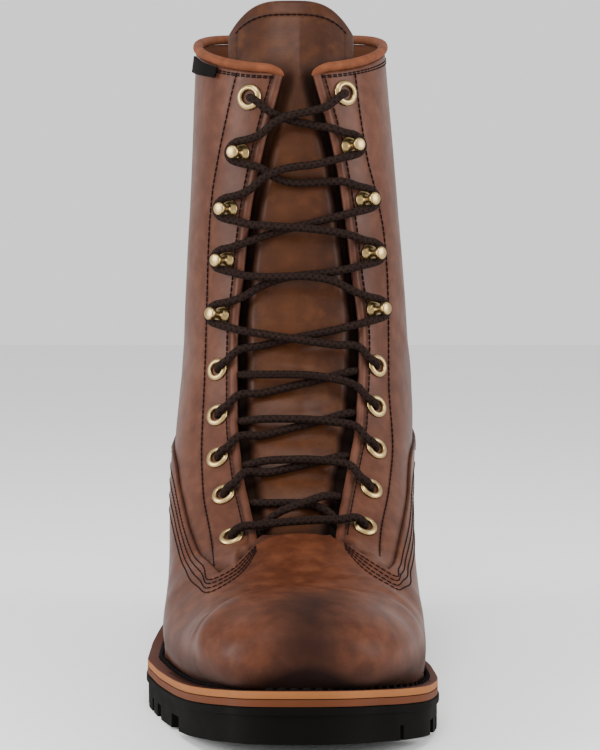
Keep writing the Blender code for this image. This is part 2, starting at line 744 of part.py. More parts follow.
def make_sole():
    make_outsole()
    make_heel()
    make_welt()
    sole_layer("midsole", (
        (TAN_INSET, 0.0, below_seat(WELT_THICK + SEAM_GAP)),
        (TAN_INSET, 0.0, below_seat(TAN_STACK)),
    ), 30, TAN_LEATHER)
    inside = LAYER + WALL + 6 * SEAM_GAP
    sole_layer("insole", (
        (inside, 1.0, below_seat(WELT_THICK - SEAM_GAP - INSOLE_THICK)),
        (inside, 1.0, below_seat(WELT_THICK - SEAM_GAP)),
    ), 24, LINING)


def tube(name, path, radius, facets, finish, helper=False):
    """A closed round bar along a path of points."""
    path = [Vector(point) for point in path]
    points, faces = [], []
    side = None
    for i, centre in enumerate(path):
        ahead = path[min(i + 1, len(path) - 1)] - path[max(i - 1, 0)]
        ahead.normalize()
        if side is None:
            side = ahead.cross(Vector((0, 0, 1))).normalized()
        side = (side - ahead * side.dot(ahead)).normalized()
        third = ahead.cross(side)
        for k in range(facets):
            angle = 2 * math.pi * (k + 0.5) / facets
            points.append(tuple(centre + radius * (math.cos(angle) * side + math.sin(angle) * third)))
    for i in range(len(path) - 1):
        for k in range(facets):
            following = (k + 1) % facets
            faces.append((i * facets + k, i * facets + following,
                          (i + 1) * facets + following, (i + 1) * facets + k))
    faces.append(tuple(range(facets)))
    faces.append(tuple(reversed(range((len(path) - 1) * facets, len(path) * facets))))
    return solid(name, points, faces, finish, helper)


def make_collar_roll():
    """The rolled binding on the collar's rim, open at the throat."""
    path = []
    steps = 14
    for side, order in ((LATERAL, range(steps)), (MEDIAL, range(steps, -1, -1))):
        opening = throat_share(TOP_ROW, side)
        for i in order:
            v = opening + (1 - opening) * i / steps
            point = upper_point(TOP_ROW, side, v, -WALL / 2)
            path.append(point + np.array((0.0, 0.0, ROLL_RADIUS + SEAM_GAP)))
    tube("collar_roll", path, ROLL_RADIUS, ROLL_SIDES, TAN_LEATHER)


def strand(start, end, lifts, bow=0.0, steps=8):
    """A lace strand between two places given as x and height, with lifts along it."""
    rise = track([0.0, 0.5, 1.0], lifts)
    path = []
    for i in range(steps + 1):
        u = i / steps
        x = start[0] + (end[0] - start[0]) * u
        z = start[1] + (end[1] - start[1]) * u + 4 * bow * u * (1 - u)
        path.append(front_point(x, z, rise(u))[0])
    return path


def make_lace():
    """Each crossing runs from under the upper pair's edges to over the lower pair's."""
    last = PAIRS[-1]
    for number, (pair, following) in enumerate(zip(PAIRS, PAIRS[1:]), start=1):
        strands = []
        for side, other, middle in ((LATERAL, MEDIAL, LACE_LOW), (MEDIAL, LATERAL, LACE_CROSSING)):
            start = (throat_half[side](pair.z) - side * LACE_UNDER_EDGE, height_of(pair, side) - 2)
            if following is last:
                end = (other * LAST_CROSSING_X - 1, height_of(last, other) + LAST_CROSSING_RISE)
                lift = LACE_LOW
            else:
                reach = LACE_TO_HOLE if following.kind == "eyelet" else LACE_TO_NECK
                end = (getattr(following, SIDE_NAME[other]) - other * reach, height_of(following, other) + 2)
                lift = LACE_HIGH
            strands.append(strand(start, end, [LACE_LOW, middle, lift]))
        cross = tube(f"lace_cross_{number}", strands[0], LACE_RADIUS, LACE_SIDES, CORD)
        under = tube(f"lace_strand_{number}", strands[1], LACE_RADIUS, LACE_SIDES, CORD, helper=True)
        boolean(cross, under, "UNION")
    ends = [
        (getattr(last, name) - side * LACE_TO_HOLE, height_of(last, side) + 1) for side, name in SIDE_NAME.items()
    ]
    tube("lace_bar", strand(*ends, [LACE_HIGH] * 3, bow=BAR_BOW), LACE_RADIUS, LACE_SIDES, CORD)


def make_tag():
    """The blank tag that hangs from the lateral collar."""
    rows, columns = 2, 4
    spots = [
        (TOP_ROW - TAG_DROP - TAG_ROWS * i, TAG_SHARE + TAG_WIDTH * j / (columns - 1))
        for i in range(rows) for j in range(columns)
    ]
    outer = [upper_point(t, LATERAL, v, TAG_LIFT + TAG_THICK) for t, v in spots]
    inner = [upper_point(t, LATERAL, v, TAG_LIFT) for t, v in spots]
    shell("collar_tag", outer, inner, sheet_faces(rows, columns), LABEL)


def main():
    for old in list(bpy.data.objects):
        bpy.data.objects.remove(old)
    make_upper()
    make_tongue()
    make_sole()
    make_hardware()
    make_collar_roll()
    make_lace()
    make_tag()


main()
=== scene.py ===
# The looks of a right logger boot: oiled brown leather, tan welt, black lug sole, brass hooks and eyelets.
import math
from collections import namedtuple

import bmesh
import bpy
import numpy as np
from mathutils import Matrix, Vector
from mathutils.bvhtree import BVHTree


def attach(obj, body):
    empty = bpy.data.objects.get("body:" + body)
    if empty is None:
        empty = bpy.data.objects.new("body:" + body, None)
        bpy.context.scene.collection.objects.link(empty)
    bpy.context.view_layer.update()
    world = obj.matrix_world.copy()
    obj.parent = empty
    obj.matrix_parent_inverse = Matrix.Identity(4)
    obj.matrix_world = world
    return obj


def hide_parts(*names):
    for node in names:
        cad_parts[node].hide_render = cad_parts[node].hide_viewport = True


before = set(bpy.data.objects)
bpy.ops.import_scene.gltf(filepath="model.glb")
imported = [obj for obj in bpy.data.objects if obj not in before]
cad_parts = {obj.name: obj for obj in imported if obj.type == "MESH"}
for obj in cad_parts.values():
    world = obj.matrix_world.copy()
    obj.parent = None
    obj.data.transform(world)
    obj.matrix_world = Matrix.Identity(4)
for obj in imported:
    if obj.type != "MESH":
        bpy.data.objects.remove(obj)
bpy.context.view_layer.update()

# Sizes are in millimetres. A place is x, forward distance from the heel's back, and height.
mm = 0.001
lateral, medial = -1, 1
sideNames = {lateral: "lateral", medial: "medial"}

last = {
    "heelCentre": 42.0,
    "soleLength": 311.0,
    "heelRound": 36.0, "toeRound": 48.0,
    "backPower": 2.2, "toePower": 2.5,
    "toeShift": -2.0,
    "weltWidth": {lateral: 7.0, medial: 5.5},
    "weltToe": 7.5, "weltBack": 5.5,
    "stack": 18.9,          # welt top to ground at the ball
    "wall": 1.8, "layer": 1.3, "gap": 0.3,
    "throatRow": 8, "heelRow": 15, "topRow": 22,
}

SoleRow = namedtuple("SoleRow", "s lateral medial")
soleRows = (
    SoleRow(0, -38.5, 37.0), SoleRow(40, -39.0, 38.0), SoleRow(85, -42.0, 36.0), SoleRow(110, -48.0, 34.5),
    SoleRow(130, -54.0, 35.5), SoleRow(150, -60.0, 39.5), SoleRow(170, -62.0, 44.0),
    SoleRow(195, -61.8, 49.6), SoleRow(213, -58.0, 52.4), SoleRow(235, -51.5, 53.2),
    SoleRow(260, -43.5, 49.4), SoleRow(284, -34.0, 38.8),
    SoleRow(296, -30.5, 32.0), SoleRow(311, -33.0, 30.0),
)
SeatRow = namedtuple("SeatRow", "s top")
seatRows = (
    SeatRow(0, 49.0), SeatRow(40, 49.0), SeatRow(60, 48.2), SeatRow(85, 43.8), SeatRow(110, 35.3),
    SeatRow(130, 28.0), SeatRow(150, 22.3), SeatRow(165, 19.7), SeatRow(180, 18.9), SeatRow(215, 18.9),
    SeatRow(240, 19.9), SeatRow(260, 21.8), SeatRow(280, 24.6), SeatRow(296, 27.4), SeatRow(311, 30.2),
)
# The last's sections, from the toe's tip to the collar. foot is the lower or rear end, top the ridge.
Section = namedtuple("Section", "footS footZ topS topZ ridge lateral medial widest front back bow")
sections = (
    Section(301.9, None, 302.6, 31.0, -2.0, -2.5, -1.5, 0.50, 2.2, 2.0, 0),
    Section(301.0, None, 304.3, 38.0, -2.0, -17.5, 13.0, 0.40, 2.2, 2.0, 0),
    Section(295.0, None, 302.0, 46.5, -1.8, -26.0, 24.5, 0.35, 2.2, 2.0, 0),
    Section(283.0, None, 292.0, 53.0, -1.5, -33.5, 34.5, 0.33, 2.2, 2.0, 0),
    Section(267.0, None, 272.0, 55.5, -1.0, -39.5, 41.5, 0.32, 2.2, 2.0, 0),
    Section(245.0, None, 243.0, 53.0, -1.0, -46.0, 46.2, 0.32, 2.2, 2.0, 0),
    Section(222.0, None, 217.0, 57.0, -1.0, -51.5, 47.6, 0.32, 2.2, 2.0, 0),
    Section(205.0, None, 198.0, 63.0, -1.0, -53.2, 48.0, 0.33, 2.3, 2.0, 0),
    Section(192.0, None, 186.0, 67.5, -1.0, -53.4, 47.8, 0.34, 2.35, 2.0, 0),
    Section(175.0, None, 174.0, 77.0, -1.0, -53.4, 47.6, 0.35, 2.4, 2.0, 0),
    Section(152.0, None, 161.5, 90.0, -1.0, -53.8, 47.4, 0.38, 2.4, 2.0, 0),
    Section(125.0, None, 149.0, 106.0, -1.0, -54.8, 47.6, 0.42, 2.4, 2.0, 0),
    Section(95.0, None, 140.0, 123.0, -0.5, -55.6, 48.6, 0.46, 2.35, 2.0, 0),
    Section(60.0, None, 135.0, 141.0, 0.0, -55.7, 50.2, 0.48, 2.3, 2.0, 0),
    Section(25.0, None, 132.5, 157.0, 0.0, -55.3, 51.2, 0.50, 2.3, 1.9, 0),
    Section(7.1, 49.65, 131.5, 171.0, 0.0, -54.4, 51.0, 0.52, 2.3, 1.9, 0),
    Section(3.0, 70.0, 131.0, 183.0, -0.5, -53.2, 49.4, 0.54, 2.3, 1.9, 0),
    Section(6.0, 97.0, 130.5, 196.0, -1.0, -52.2, 47.9, 0.56, 2.3, 1.9, 1),
    Section(11.0, 128.0, 130.0, 209.0, -1.7, -51.1, 46.2, 0.56, 2.3, 1.9, 2),
    Section(13.0, 162.0, 129.5, 222.0, -2.4, -49.8, 44.3, 0.56, 2.3, 1.9, 3),
    Section(12.0, 200.0, 129.0, 235.0, -3.0, -48.8, 42.4, 0.55, 2.3, 1.9, 4),
    Section(10.0, 240.0, 128.3, 247.0, -3.5, -48.0, 40.4, 0.55, 2.3, 1.9, 4),
    Section(8.0, 282.0, 127.5, 258.0, -4.0, -47.0, 38.4, 0.55, 2.3, 1.9, 4),
)
AcrossRow = namedtuple("AcrossRow", "z lateral medial")
throatRows = (
    AcrossRow(67.5, -17.5, 14.5), AcrossRow(78, -20.5, 16.5), AcrossRow(92, -24.0, 19.7),
    AcrossRow(115, -26.9, 24.3), AcrossRow(150, -27.4, 26.1), AcrossRow(177, -24.8, 22.8),
    AcrossRow(200, -21.8, 19.6), AcrossRow(224, -16.5, 15.2), AcrossRow(258, -7.2, 5.5),
)
eyestayRows = (
    AcrossRow(52, -33.0, 31.5), AcrossRow(66, -36.6, 33.0), AcrossRow(82, -40.7, 37.4),
    AcrossRow(100, -42.0, 39.8),
    AcrossRow(124, -41.5, 38.6), AcrossRow(150, -41.0, 38.8), AcrossRow(167, -40.6, 38.5),
    AcrossRow(189, -39.8, 36.8), AcrossRow(206, -38.4, 33.5), AcrossRow(222, -35.7, 29.3),
    AcrossRow(242, -31.4, 26.0), AcrossRow(259, -27.4, 23.9),
)
EdgePoint = namedtuple("EdgePoint", "s z")
vampEdge = (
    EdgePoint(191, 60), EdgePoint(186, 51), EdgePoint(178, 48), EdgePoint(168, 49), EdgePoint(159, 53),
    EdgePoint(151, 60), EdgePoint(146, 70), EdgePoint(141, 81), EdgePoint(133, 89), EdgePoint(120, 94),
    EdgePoint(90, 98), EdgePoint(50, 104), EdgePoint(-10, 113),
)
Pair = namedtuple("Pair", "kind z rise lateral medial size")
pairs = (  # the medial one of each pair sits higher by its rise
    Pair("eyelet", 248, 2.0, -21.8, 19.6, 1.12),
    Pair("hook", 224, 3.0, -25.5, 21.5, 1.0),
    Pair("hook", 200, 4.0, -30.5, 27.5, 1.0),
    Pair("hook", 178, 3.0, -32.0, 30.0, 1.0),
    Pair("hook", 154, 2.5, -34.0, 32.0, 1.0),
    Pair("eyelet", 131, 1.5, -35.6, 33.4, 1.0),
    Pair("eyelet", 112, 3.5, -35.3, 32.7, 1.0),
    Pair("eyelet", 95, 3.5, -34.8, 32.3, 1.0),
    Pair("eyelet", 81, 2.0, -31.8, 29.7, 1.0),
    Pair("eyelet", 66, 3.5, -27.9, 26.7, 1.0),
)


def track(knots, values):
    knots, values = np.array(knots, float), np.array(values, float)
    gap = np.diff(knots)
    rise = np.diff(values) / gap
    pair = rise[:-1] * rise[1:]
    middle = np.where(pair > 0, 2 * pair / np.where(pair > 0, rise[:-1] + rise[1:], 1.0), 0.0)
    slope = np.concatenate([rise[:1], middle, rise[-1:]])

    def at(where):
        where = np.asarray(where, float)
        i = np.clip(np.searchsorted(knots, where) - 1, 0, len(gap) - 1)
        t = (where - knots[i]) / gap[i]
        return (values[i] * (1 + 2 * t) * (1 - t) ** 2 + values[i + 1] * t * t * (3 - 2 * t)
                + gap[i] * (slope[i] * t * (1 - t) ** 2 + slope[i + 1] * t * t * (t - 1)))
    return at


def column(rows, name, key):
    return track([getattr(row, key) for row in rows], [getattr(row, name) for row in rows])


def bothSides(rows, key):
    return {side: column(rows, name, key) for side, name in sideNames.items()}


soleHalf = bothSides(soleRows, "s")
throatHalf = bothSides(throatRows, "z")
eyestayHalf = bothSides(eyestayRows, "z")
seat = column(seatRows, "top", "s")
rowNumbers = range(len(sections))
section = {name: track(rowNumbers, [getattr(row, name) for row in sections])
           for name in Section._fields if name != "footZ"}
backHeight = track(rowNumbers[last["heelRow"]:], [row.footZ for row in sections[last["heelRow"]:]])


def soleEdge(side, s, inside=0.0, welts=0.0):
    back = inside + welts * last["weltBack"]
    tip = last["soleLength"] - inside - welts * last["weltToe"]
    u = (np.asarray(s, float) - back) / (tip - back) * last["soleLength"]
    behind = np.clip((last["heelRound"] - u) / last["heelRound"], 0, 1)
    ahead = np.clip((u - last["soleLength"] + last["toeRound"]) / last["toeRound"], 0, 1)
    rounding = (1 - behind ** last["backPower"]) ** (1 / last["backPower"])
    rounding = rounding * (1 - ahead ** last["toePower"]) ** (1 / last["toePower"])
    centre = last["toeShift"] * np.clip(u / last["soleLength"], 0, 1)
    reach = soleHalf[side](u) - side * (inside + welts * last["weltWidth"][side])
    return centre + (reach - centre) * rounding


def footOf(t, side):
    s = section["footS"](t)
    behind = t >= last["heelRow"]
    x = np.where(behind, section["ridge"](t), soleEdge(side, s, last["layer"] + last["gap"], 1.0))
    return x, s, np.where(behind, backHeight(t), seat(s) + 0.5)


def quarterShare(t, side):
    foot = footOf(t, side)
    half = section[sideNames[side]](t)
    depth = np.hypot(section["topS"](t) - foot[1], section["topZ"](t) - foot[2]) + 0.01
    widest = section["widest"](t)
    ahead = np.hypot(np.abs(half - section["ridge"](t)) + 0.01, depth * (1 - widest))
    return ahead / (ahead + np.hypot(np.abs(half - foot[0]), depth * widest))


def halfForm(t, side, v):
    footX, footS, footZ = footOf(t, side)
    ridge, widest = section["ridge"](t), section["widest"](t)
    reach = section[sideNames[side]](t) - ridge
    share = quarterShare(t, side)
    angle = np.clip(v / share, 0, 1) * math.pi / 2
    power = 2 / section["front"](t)
    outAhead = np.sin(angle) ** power
    alongAhead = widest + (1 - widest) * np.clip(np.cos(angle), 0, 1) ** power
    power = section["back"](t)
    lastAngle = np.arccos(np.clip((footX - ridge) / reach, 0, 0.999) ** (power / 2))
    angle = np.clip((v - share) / (1 - share), 0, 1) * lastAngle
    outBelow = np.clip(np.cos(angle), 0, 1) ** (2 / power)
    alongBelow = widest * (1 - (np.sin(angle) / np.sin(lastAngle)) ** (2 / power))
    ahead = v <= share
    out, along = np.where(ahead, outAhead, outBelow), np.where(ahead, alongAhead, alongBelow)
    return np.stack([
        ridge + reach * out,
        footS + along * (section["topS"](t) - footS),
        footZ + along * (section["topZ"](t) - footZ) + 4 * section["bow"](t) * along * (1 - along),
    ], axis=-1)


def form(t, v):
    # v runs from -1 at the lateral foot over 0 at the ridge to 1 at the medial foot
    t, v = np.broadcast_arrays(np.asarray(t, float), np.asarray(v, float))
    points = np.empty(t.shape + (3,))
    for side in sideNames:
        pick = v < 0 if side == lateral else v >= 0
        points[pick] = halfForm(t[pick], side, np.abs(v[pick]))
    return points


def unit(vectors):
    return vectors / (np.linalg.norm(vectors, axis=-1, keepdims=True) + 1e-12)


def formNormal(t, v):
    t, v = np.broadcast_arrays(np.asarray(t, float), np.asarray(v, float))
    step = 0.01
    along = form(np.minimum(t + step, last["topRow"]), v) - form(np.maximum(t - step, 0.02), v)
    across = form(t, np.clip(v + step, -1, 1)) - form(t, np.clip(v - step, -1, 1))
    return unit(np.cross(along, across))


def lifted(t, v, lift=0.0):
    return form(t, v) + np.asarray(lift)[..., None] * formNormal(t, v)


def shareAt(t, side, x):
    ridge = section["ridge"](t)
    out = np.clip((x - ridge) / (section[sideNames[side]](t) - ridge), 0, 1)
    return np.arcsin(out ** (section["front"](t) / 2)) / (math.pi / 2) * quarterShare(t, side)


def throatShare(t, side):
    height = np.maximum(section["topZ"](np.maximum(t, last["throatRow"])), throatRows[0].z)
    return shareAt(t, side, throatHalf[side](height))


def frontSpot(x, z):
    # (t, v) of a place on the boot's front, from its x and height
    x, z = np.broadcast_arrays(np.asarray(x, float), np.asarray(z, float))
    t, v = np.empty(x.shape), np.empty(x.shape)
    for side in sideNames:
        pick = x <= -1 if side == lateral else x > -1
        low, high = np.full(pick.sum(), 4.0), np.full(pick.sum(), float(last["topRow"]))
        for _ in range(40):
            middle = (low + high) / 2
            below = halfForm(middle, side, shareAt(middle, side, x[pick]))[:, 2] < z[pick]
            low, high = np.where(below, middle, low), np.where(below, high, middle)
        t[pick], v[pick] = low, side * shareAt(low, side, x[pick])
    return t, v


# Meshes from sheets of points

def place(points):
    points = np.asarray(points, float)
    return np.stack([points[..., 0], last["heelCentre"] - points[..., 1], points[..., 2]], axis=-1) * mm


def sheetFaces(rows, columns, wrap=False):
    i, j = np.meshgrid(np.arange(rows - 1), np.arange(columns if wrap else columns - 1), indexing="ij")
    after = (j + 1) % columns
    corners = [i * columns + j, i * columns + after, (i + 1) * columns + after, (i + 1) * columns + j]
    return np.stack(corners, axis=-1).reshape(-1, 4)


def weld(points, faces, tolerance=1e-3):
    keys = np.round(points / tolerance).astype(np.int64)
    _, first, index = np.unique(keys, axis=0, return_index=True, return_inverse=True)
    return first, index.reshape(-1)[faces]


def tidyFaces(faces):
    faces = np.asarray(faces)
    repeats = (faces == np.roll(faces, 1, axis=1)).any(axis=1)
    repeats |= (faces[:, 0] == faces[:, 2]) | (faces[:, 1] == faces[:, 3])
    good = faces[~repeats].tolist()
    for face in faces[repeats].tolist():
        ring = list(dict.fromkeys(face))
        if len(ring) > 2:
            good.append(ring)
    return good


def closeShell(outer, inner, faces):
    # joins two like sheets along the edges that bound their faces
    first, faces = weld(outer, faces)
    outer, inner = outer[first], inner[first]
    faces = tidyFaces(faces)
    used = {}
    for face in faces:
        for a, b in zip(face, face[1:] + face[:1]):
            used[(a, b)] = True
    count = len(outer)
    rims = [[b, a, count + a, count + b] for a, b in used if (b, a) not in used]
    back = [[count + i for i in reversed(face)] for face in faces]
    return np.concatenate([outer, inner]), faces + back + rims, first


def newMesh(name, metres, faces):
    # a mesh whose faces all look outward
    mesh = bpy.data.meshes.new(name)
    mesh.from_pydata(metres.tolist(), [], faces.tolist() if isinstance(faces, np.ndarray) else faces)
    work = bmesh.new()
    work.from_mesh(mesh)
    bmesh.ops.recalc_face_normals(work, faces=work.faces)
    work.to_mesh(mesh)
    work.free()
    return mesh


def addObject(name, data):
    thing = bpy.data.objects.new(name, data)
    bpy.context.scene.collection.objects.link(thing)
    return thing


def makePiece(name, points, faces, material, replaced=(), masks=None, sharp=None):
    mesh = newMesh(name, place(points), faces)
    for key, values in (masks or {}).items():
        attribute = mesh.attributes.new(key, "FLOAT", "POINT")
        attribute.data.foreach_set("value", np.asarray(values, np.float32))
    mesh.shade_smooth()
    if sharp:
        mesh.set_sharp_from_angle(angle=math.radians(sharp))
    mesh.materials.append(material)
    piece = addObject(name, mesh)
    if replaced:
        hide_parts(*replaced)
    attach(piece, "root")
    return piece


def distanceTo(points, line, chunk=4000):
    flat = points.reshape(-1, 3)
    squares = (line ** 2).sum(axis=1)
    nearest = [((part ** 2).sum(axis=1)[:, None] + squares - 2 * part @ line.T).min(axis=1)
               for part in np.array_split(flat, len(flat) // chunk + 1)]
    return np.sqrt(np.maximum(np.concatenate(nearest), 0)).reshape(points.shape[:-1])


def bump(distance, centre, width):
    return np.exp(-((distance - centre) / width) ** 2)


def smoothStep(value, low, high):
    # rises from low to high, or falls where low is the larger
    share = np.clip((value - low) / (high - low), 0, 1)
    return share * share * (3 - 2 * share)


def quarterRound(distance, width):
    # rises on a quarter circle from 0 at an edge to 1 at the width
    share = np.minimum(distance / width, 1)
    return np.sqrt(np.clip(1 - (1 - share) ** 2, 0, 1))


def evenOut(points, rounds):
    for _ in range(rounds):
        points[1:-1] = (points[:-2] + 2 * points[1:-1] + points[2:]) / 4


def lengthAlong(points):
    return np.concatenate([[0], np.cumsum(np.linalg.norm(np.diff(points, axis=0), axis=1))])


def resample(points, step):
    points = np.asarray(points, float)
    length = lengthAlong(points)
    count = max(2, int(round(length[-1] / step)) + 1)
    where = np.linspace(0, length[-1], count)
    return np.stack([np.interp(where, length, points[:, k]) for k in range(points.shape[1])], axis=1)


def curveThrough(points, step):
    # a smooth curve through given points, read at even steps
    points = np.asarray(points, float)
    length = lengthAlong(points)
    slope = np.gradient(points, length, axis=0)
    where = np.linspace(0, length[-1], max(8, int(length[-1] / (step * 0.5))))
    i = np.clip(np.searchsorted(length, where) - 1, 0, len(points) - 2)
    gap = np.diff(length)[i][:, None]
    t = ((where - length[i])[:, None]) / gap
    curve = (points[i] * (1 + 2 * t) * (1 - t) ** 2 + points[i + 1] * t * t * (3 - 2 * t)
             + gap * (slope[i] * t * (1 - t) ** 2 + slope[i + 1] * t * t * (t - 1)))
    return resample(curve, step)


# Shader nodes

class Socket:
    def __init__(self, tree, socket):
        self.tree, self.socket = tree, socket

    def math(self, operation, *values):
        return self.tree.add("Math", {"operation": operation}, dict(enumerate(values)))

    def __add__(self, other):
        return self.math("ADD", self, other)

    def __sub__(self, other):
        return self.math("SUBTRACT", self, other)

    def __mul__(self, other):
        return self.math("MULTIPLY", self, other)

    __radd__ = __add__

    def sine(self):
        return self.math("SINE", self)

    def clamp(self):
        return self.tree.add("Clamp", {}, {"Value": self})

    def between(self, low, high):
        inputs = {"Value": self, "From Min": low, "From Max": high}
        return self.tree.add("MapRange", {"interpolation_type": "SMOOTHSTEP"}, inputs)


class Finish:
    def __init__(self, name):
        self.material = bpy.data.materials.new(name)
        self.material.use_nodes = True
        self.tree = self.material.node_tree
        self.tree.nodes.clear()

    def add(self, kind, settings, inputs, output=0):
        node = self.tree.nodes.new("ShaderNode" + kind)
        for key, value in settings.items():
            if key == "stops":
                ramp = node.color_ramp.elements
                while len(ramp) < len(value):
                    ramp.new(0.5)
                for stop, (position, colour) in zip(ramp, value):
                    stop.position, stop.color = position, (*colour, 1.0)
            else:
                setattr(node, key, value)
        for key, value in inputs.items():
            if isinstance(value, Socket):
                self.tree.links.new(value.socket, node.inputs[key])
            elif isinstance(value, tuple) and len(value) == 3 and node.inputs[key].type == "RGBA":
                node.inputs[key].default_value = (*value, 1.0)
            else:
                node.inputs[key].default_value = value
        return Socket(self, node.outputs[output]) if node.outputs else node

    def places(self):
        return self.add("TexCoord", {}, {}, "Object")

    def noise(self, scale, detail, roughness=0.55):
        inputs = {"Scale": scale, "Detail": detail, "Roughness": roughness, "Vector": self.places()}
        return self.add("TexNoise", {}, inputs, "Fac")

    def cells(self, scale):
        return self.add("TexVoronoi", {}, {"Scale": scale, "Vector": self.places()}, "Distance")

    def mask(self, name):
        return self.add("Attribute", {"attribute_name": name}, {}, "Fac")

    def ramp(self, factor, *stops):
        return self.add("ValToRGB", {"stops": stops}, {"Fac": factor})

    def blend(self, factor, low, high):
        return self.add("Mix", {"data_type": "RGBA"}, {0: factor, 6: low, 7: high}, 2)

    def shape(self, height, strength, distance):
        return self.add("Bump", {}, {"Height": height, "Strength": strength, "Distance": distance})

    def finish(self, **inputs):
        names = {"colour": "Base Color", "roughness": "Roughness", "metallic": "Metallic", "normal": "Normal",
                 "specular": "Specular IOR Level"}
        shader = self.add("BsdfPrincipled", {}, {names[key]: value for key, value in inputs.items()})
        self.add("OutputMaterial", {}, {"Surface": shader})
        return self.material


def srgb(red, green, blue):
    return tuple(((c / 255 + 0.055) / 1.055) ** 2.4 if c > 10 else c / 3294.6 for c in (red, green, blue))


def oiledLeather(name, dark, middle, light, rough=0.42, grain=1.0):
    f = Finish(name)
    cloud = f.noise(14.0, 4.0)
    fine = f.noise(150.0, 5.0)
    tone = (cloud * 0.4 + fine * 0.6).between(0.25, 0.75)
    colour = f.ramp(tone, (0.0, dark), (0.5, middle), (1.0, light))
    # painted shade darkens the colour where the shade mask is set; a painted highlight lightens it towards
    # the light tone where the second mask is set
    colour = f.blend(f.mask("shade"), colour, tuple(c * 0.22 for c in dark))
    colour = f.blend(f.mask("gold"), colour, light)
    pores = f.cells(1100.0)
    wrinkle = f.noise(420.0, 6.0, roughness=0.7)
    normal = f.shape(wrinkle * 0.6 + pores * 0.4, 0.22 * grain, 0.0004)
    roughness = (rough + (f.noise(60.0, 4.0) - 0.5) * 0.25 + f.mask("shade") * 0.45).clamp()
    return f.finish(colour=colour, roughness=roughness, normal=normal, specular=0.12)


quarterLeather = oiledLeather("quarterLeather", srgb(58, 32, 22), srgb(71, 41, 29), srgb(85, 52, 38))
vampLeather = oiledLeather("vampLeather", srgb(50, 23, 12), srgb(66, 33, 18), srgb(84, 46, 28))
tongueLeather = oiledLeather("tongueLeather", srgb(38, 18, 9), srgb(50, 25, 12), srgb(70, 39, 19))
rollLeather = oiledLeather("rollLeather", srgb(76, 40, 23), srgb(94, 52, 31), srgb(112, 64, 40), rough=0.75)


def plainFinish(name, colour, rough, metallic=0.0, vary=0.2, specular=0.3):
    f = Finish(name)
    tone = f.noise(80.0, 4.0)
    dark = tuple(c * (1 - vary) for c in colour)
    light = tuple(min(1, c * (1 + vary)) for c in colour)
    return f.finish(colour=f.blend(tone, dark, light), roughness=(rough + (tone - 0.5) * 0.2).clamp(),
                    metallic=metallic, normal=f.shape(f.noise(900.0, 3.0), 0.15, 0.0003), specular=specular)


weave = {"twist": 0.36, "turn": 6.283, "strands": 18.85}  # turns in each mm, and three strands in radians


def wovenCord(name, dark, light):
    # strands wound both ways round the cord
    f = Finish(name)
    along = f.mask("alongLace") * weave["twist"] * weave["turn"]
    around = f.mask("roundLace") * weave["strands"]
    one, two = (along + around).sine(), (along - around).sine()
    thread = one.math("MAXIMUM", one, two) * 0.5 + 0.5
    speck = f.noise(1400.0, 2.0).between(0.55, 0.75)
    colour = f.blend((thread * 0.35 + speck * 0.65).clamp(), dark, light)
    normal = f.shape(thread * 0.7 + speck * 0.3, 0.6, 0.0005)
    return f.finish(colour=colour, roughness=0.85, normal=normal, specular=0.08)


tanEdge = plainFinish("tanEdge", srgb(124, 76, 40), 0.7, specular=0.12)
tanLower = plainFinish("tanLower", srgb(78, 40, 19), 0.7, specular=0.12)
weltTop = plainFinish("weltTop", srgb(62, 30, 20), 0.7, specular=0.12)
rubber = plainFinish("rubber", srgb(6, 5, 4), 0.8, specular=0.05)
brass = plainFinish("brass", srgb(158, 134, 90), 0.34, 1.0)
cord = wovenCord("cord", srgb(10, 5, 4), srgb(48, 32, 26))
threadDark = plainFinish("threadDark", srgb(20, 8, 8), 0.85, specular=0.08)
threadBlack = plainFinish("threadBlack", srgb(8, 5, 5), 0.85, specular=0.08)
liningLeather = plainFinish("liningLeather", srgb(72, 40, 24), 0.8, specular=0.1)
labelCloth = plainFinish("labelCloth", srgb(12, 10, 9), 0.9, specular=0.06)


# Upper: quarters with their lining, in one shell

quarters = {
    "rowsHidden": 20, "rowsFlap": 56, "rowsShaft": 128, "flapTop": 10,
    "columns": 96, "slotColumns": 6, "crowd": 1.35,
    "beadWide": 1.3, "beadHigh": 0.5, "beadPlace": 1.8, "beadGroove": 3.5, "grooveDeep": 0.35,
    "seamDeep": 0.3, "lipHigh": 1.5, "lipPlace": 2.7, "slotDeep": 1.3,
}


def insideLayer(s, z):
    # whether a place in the side view lies ahead of the vamp's edge or below it
    outline = curveThrough([(p.s, p.z) for p in vampEdge], 1.0)
    start, end = [(193.5, 95), (193.0, 68)], [(-40, outline[-1][1]), (-40, -30), (340, -30), (340, 95)]
    outline = np.concatenate([start, outline, end])
    s, z = np.asarray(s), np.asarray(z)
    inside = np.zeros(s.shape, bool)
    for (s0, z0), (s1, z1) in zip(outline, np.roll(outline, -1, axis=0)):
        if z0 == z1:
            continue
        crosses = ((z0 > z) != (z1 > z)) & (s < (s1 - s0) * (z - z0) / (z1 - z0) + s0)
        inside ^= crosses
    return inside


def edgeShare(t, side):
    # v at which the vamp and counter layer starts on each row
    v = np.linspace(0, 1, 500)
    points = form(t[:, None], side * v[None, :])
    inside = insideLayer(points[..., 1], points[..., 2])
    inside[:, -1] = True
    outsideLast = inside.shape[1] - 1 - np.argmax(~inside[:, ::-1], axis=1)
    return np.where(inside.all(axis=1), 0.0, v[np.minimum(outsideLast + 1, len(v) - 1)])


def rowAtBack(height):
    t = np.linspace(last["heelRow"], last["topRow"], 2000)
    return float(np.interp(height, backHeight(t), t))


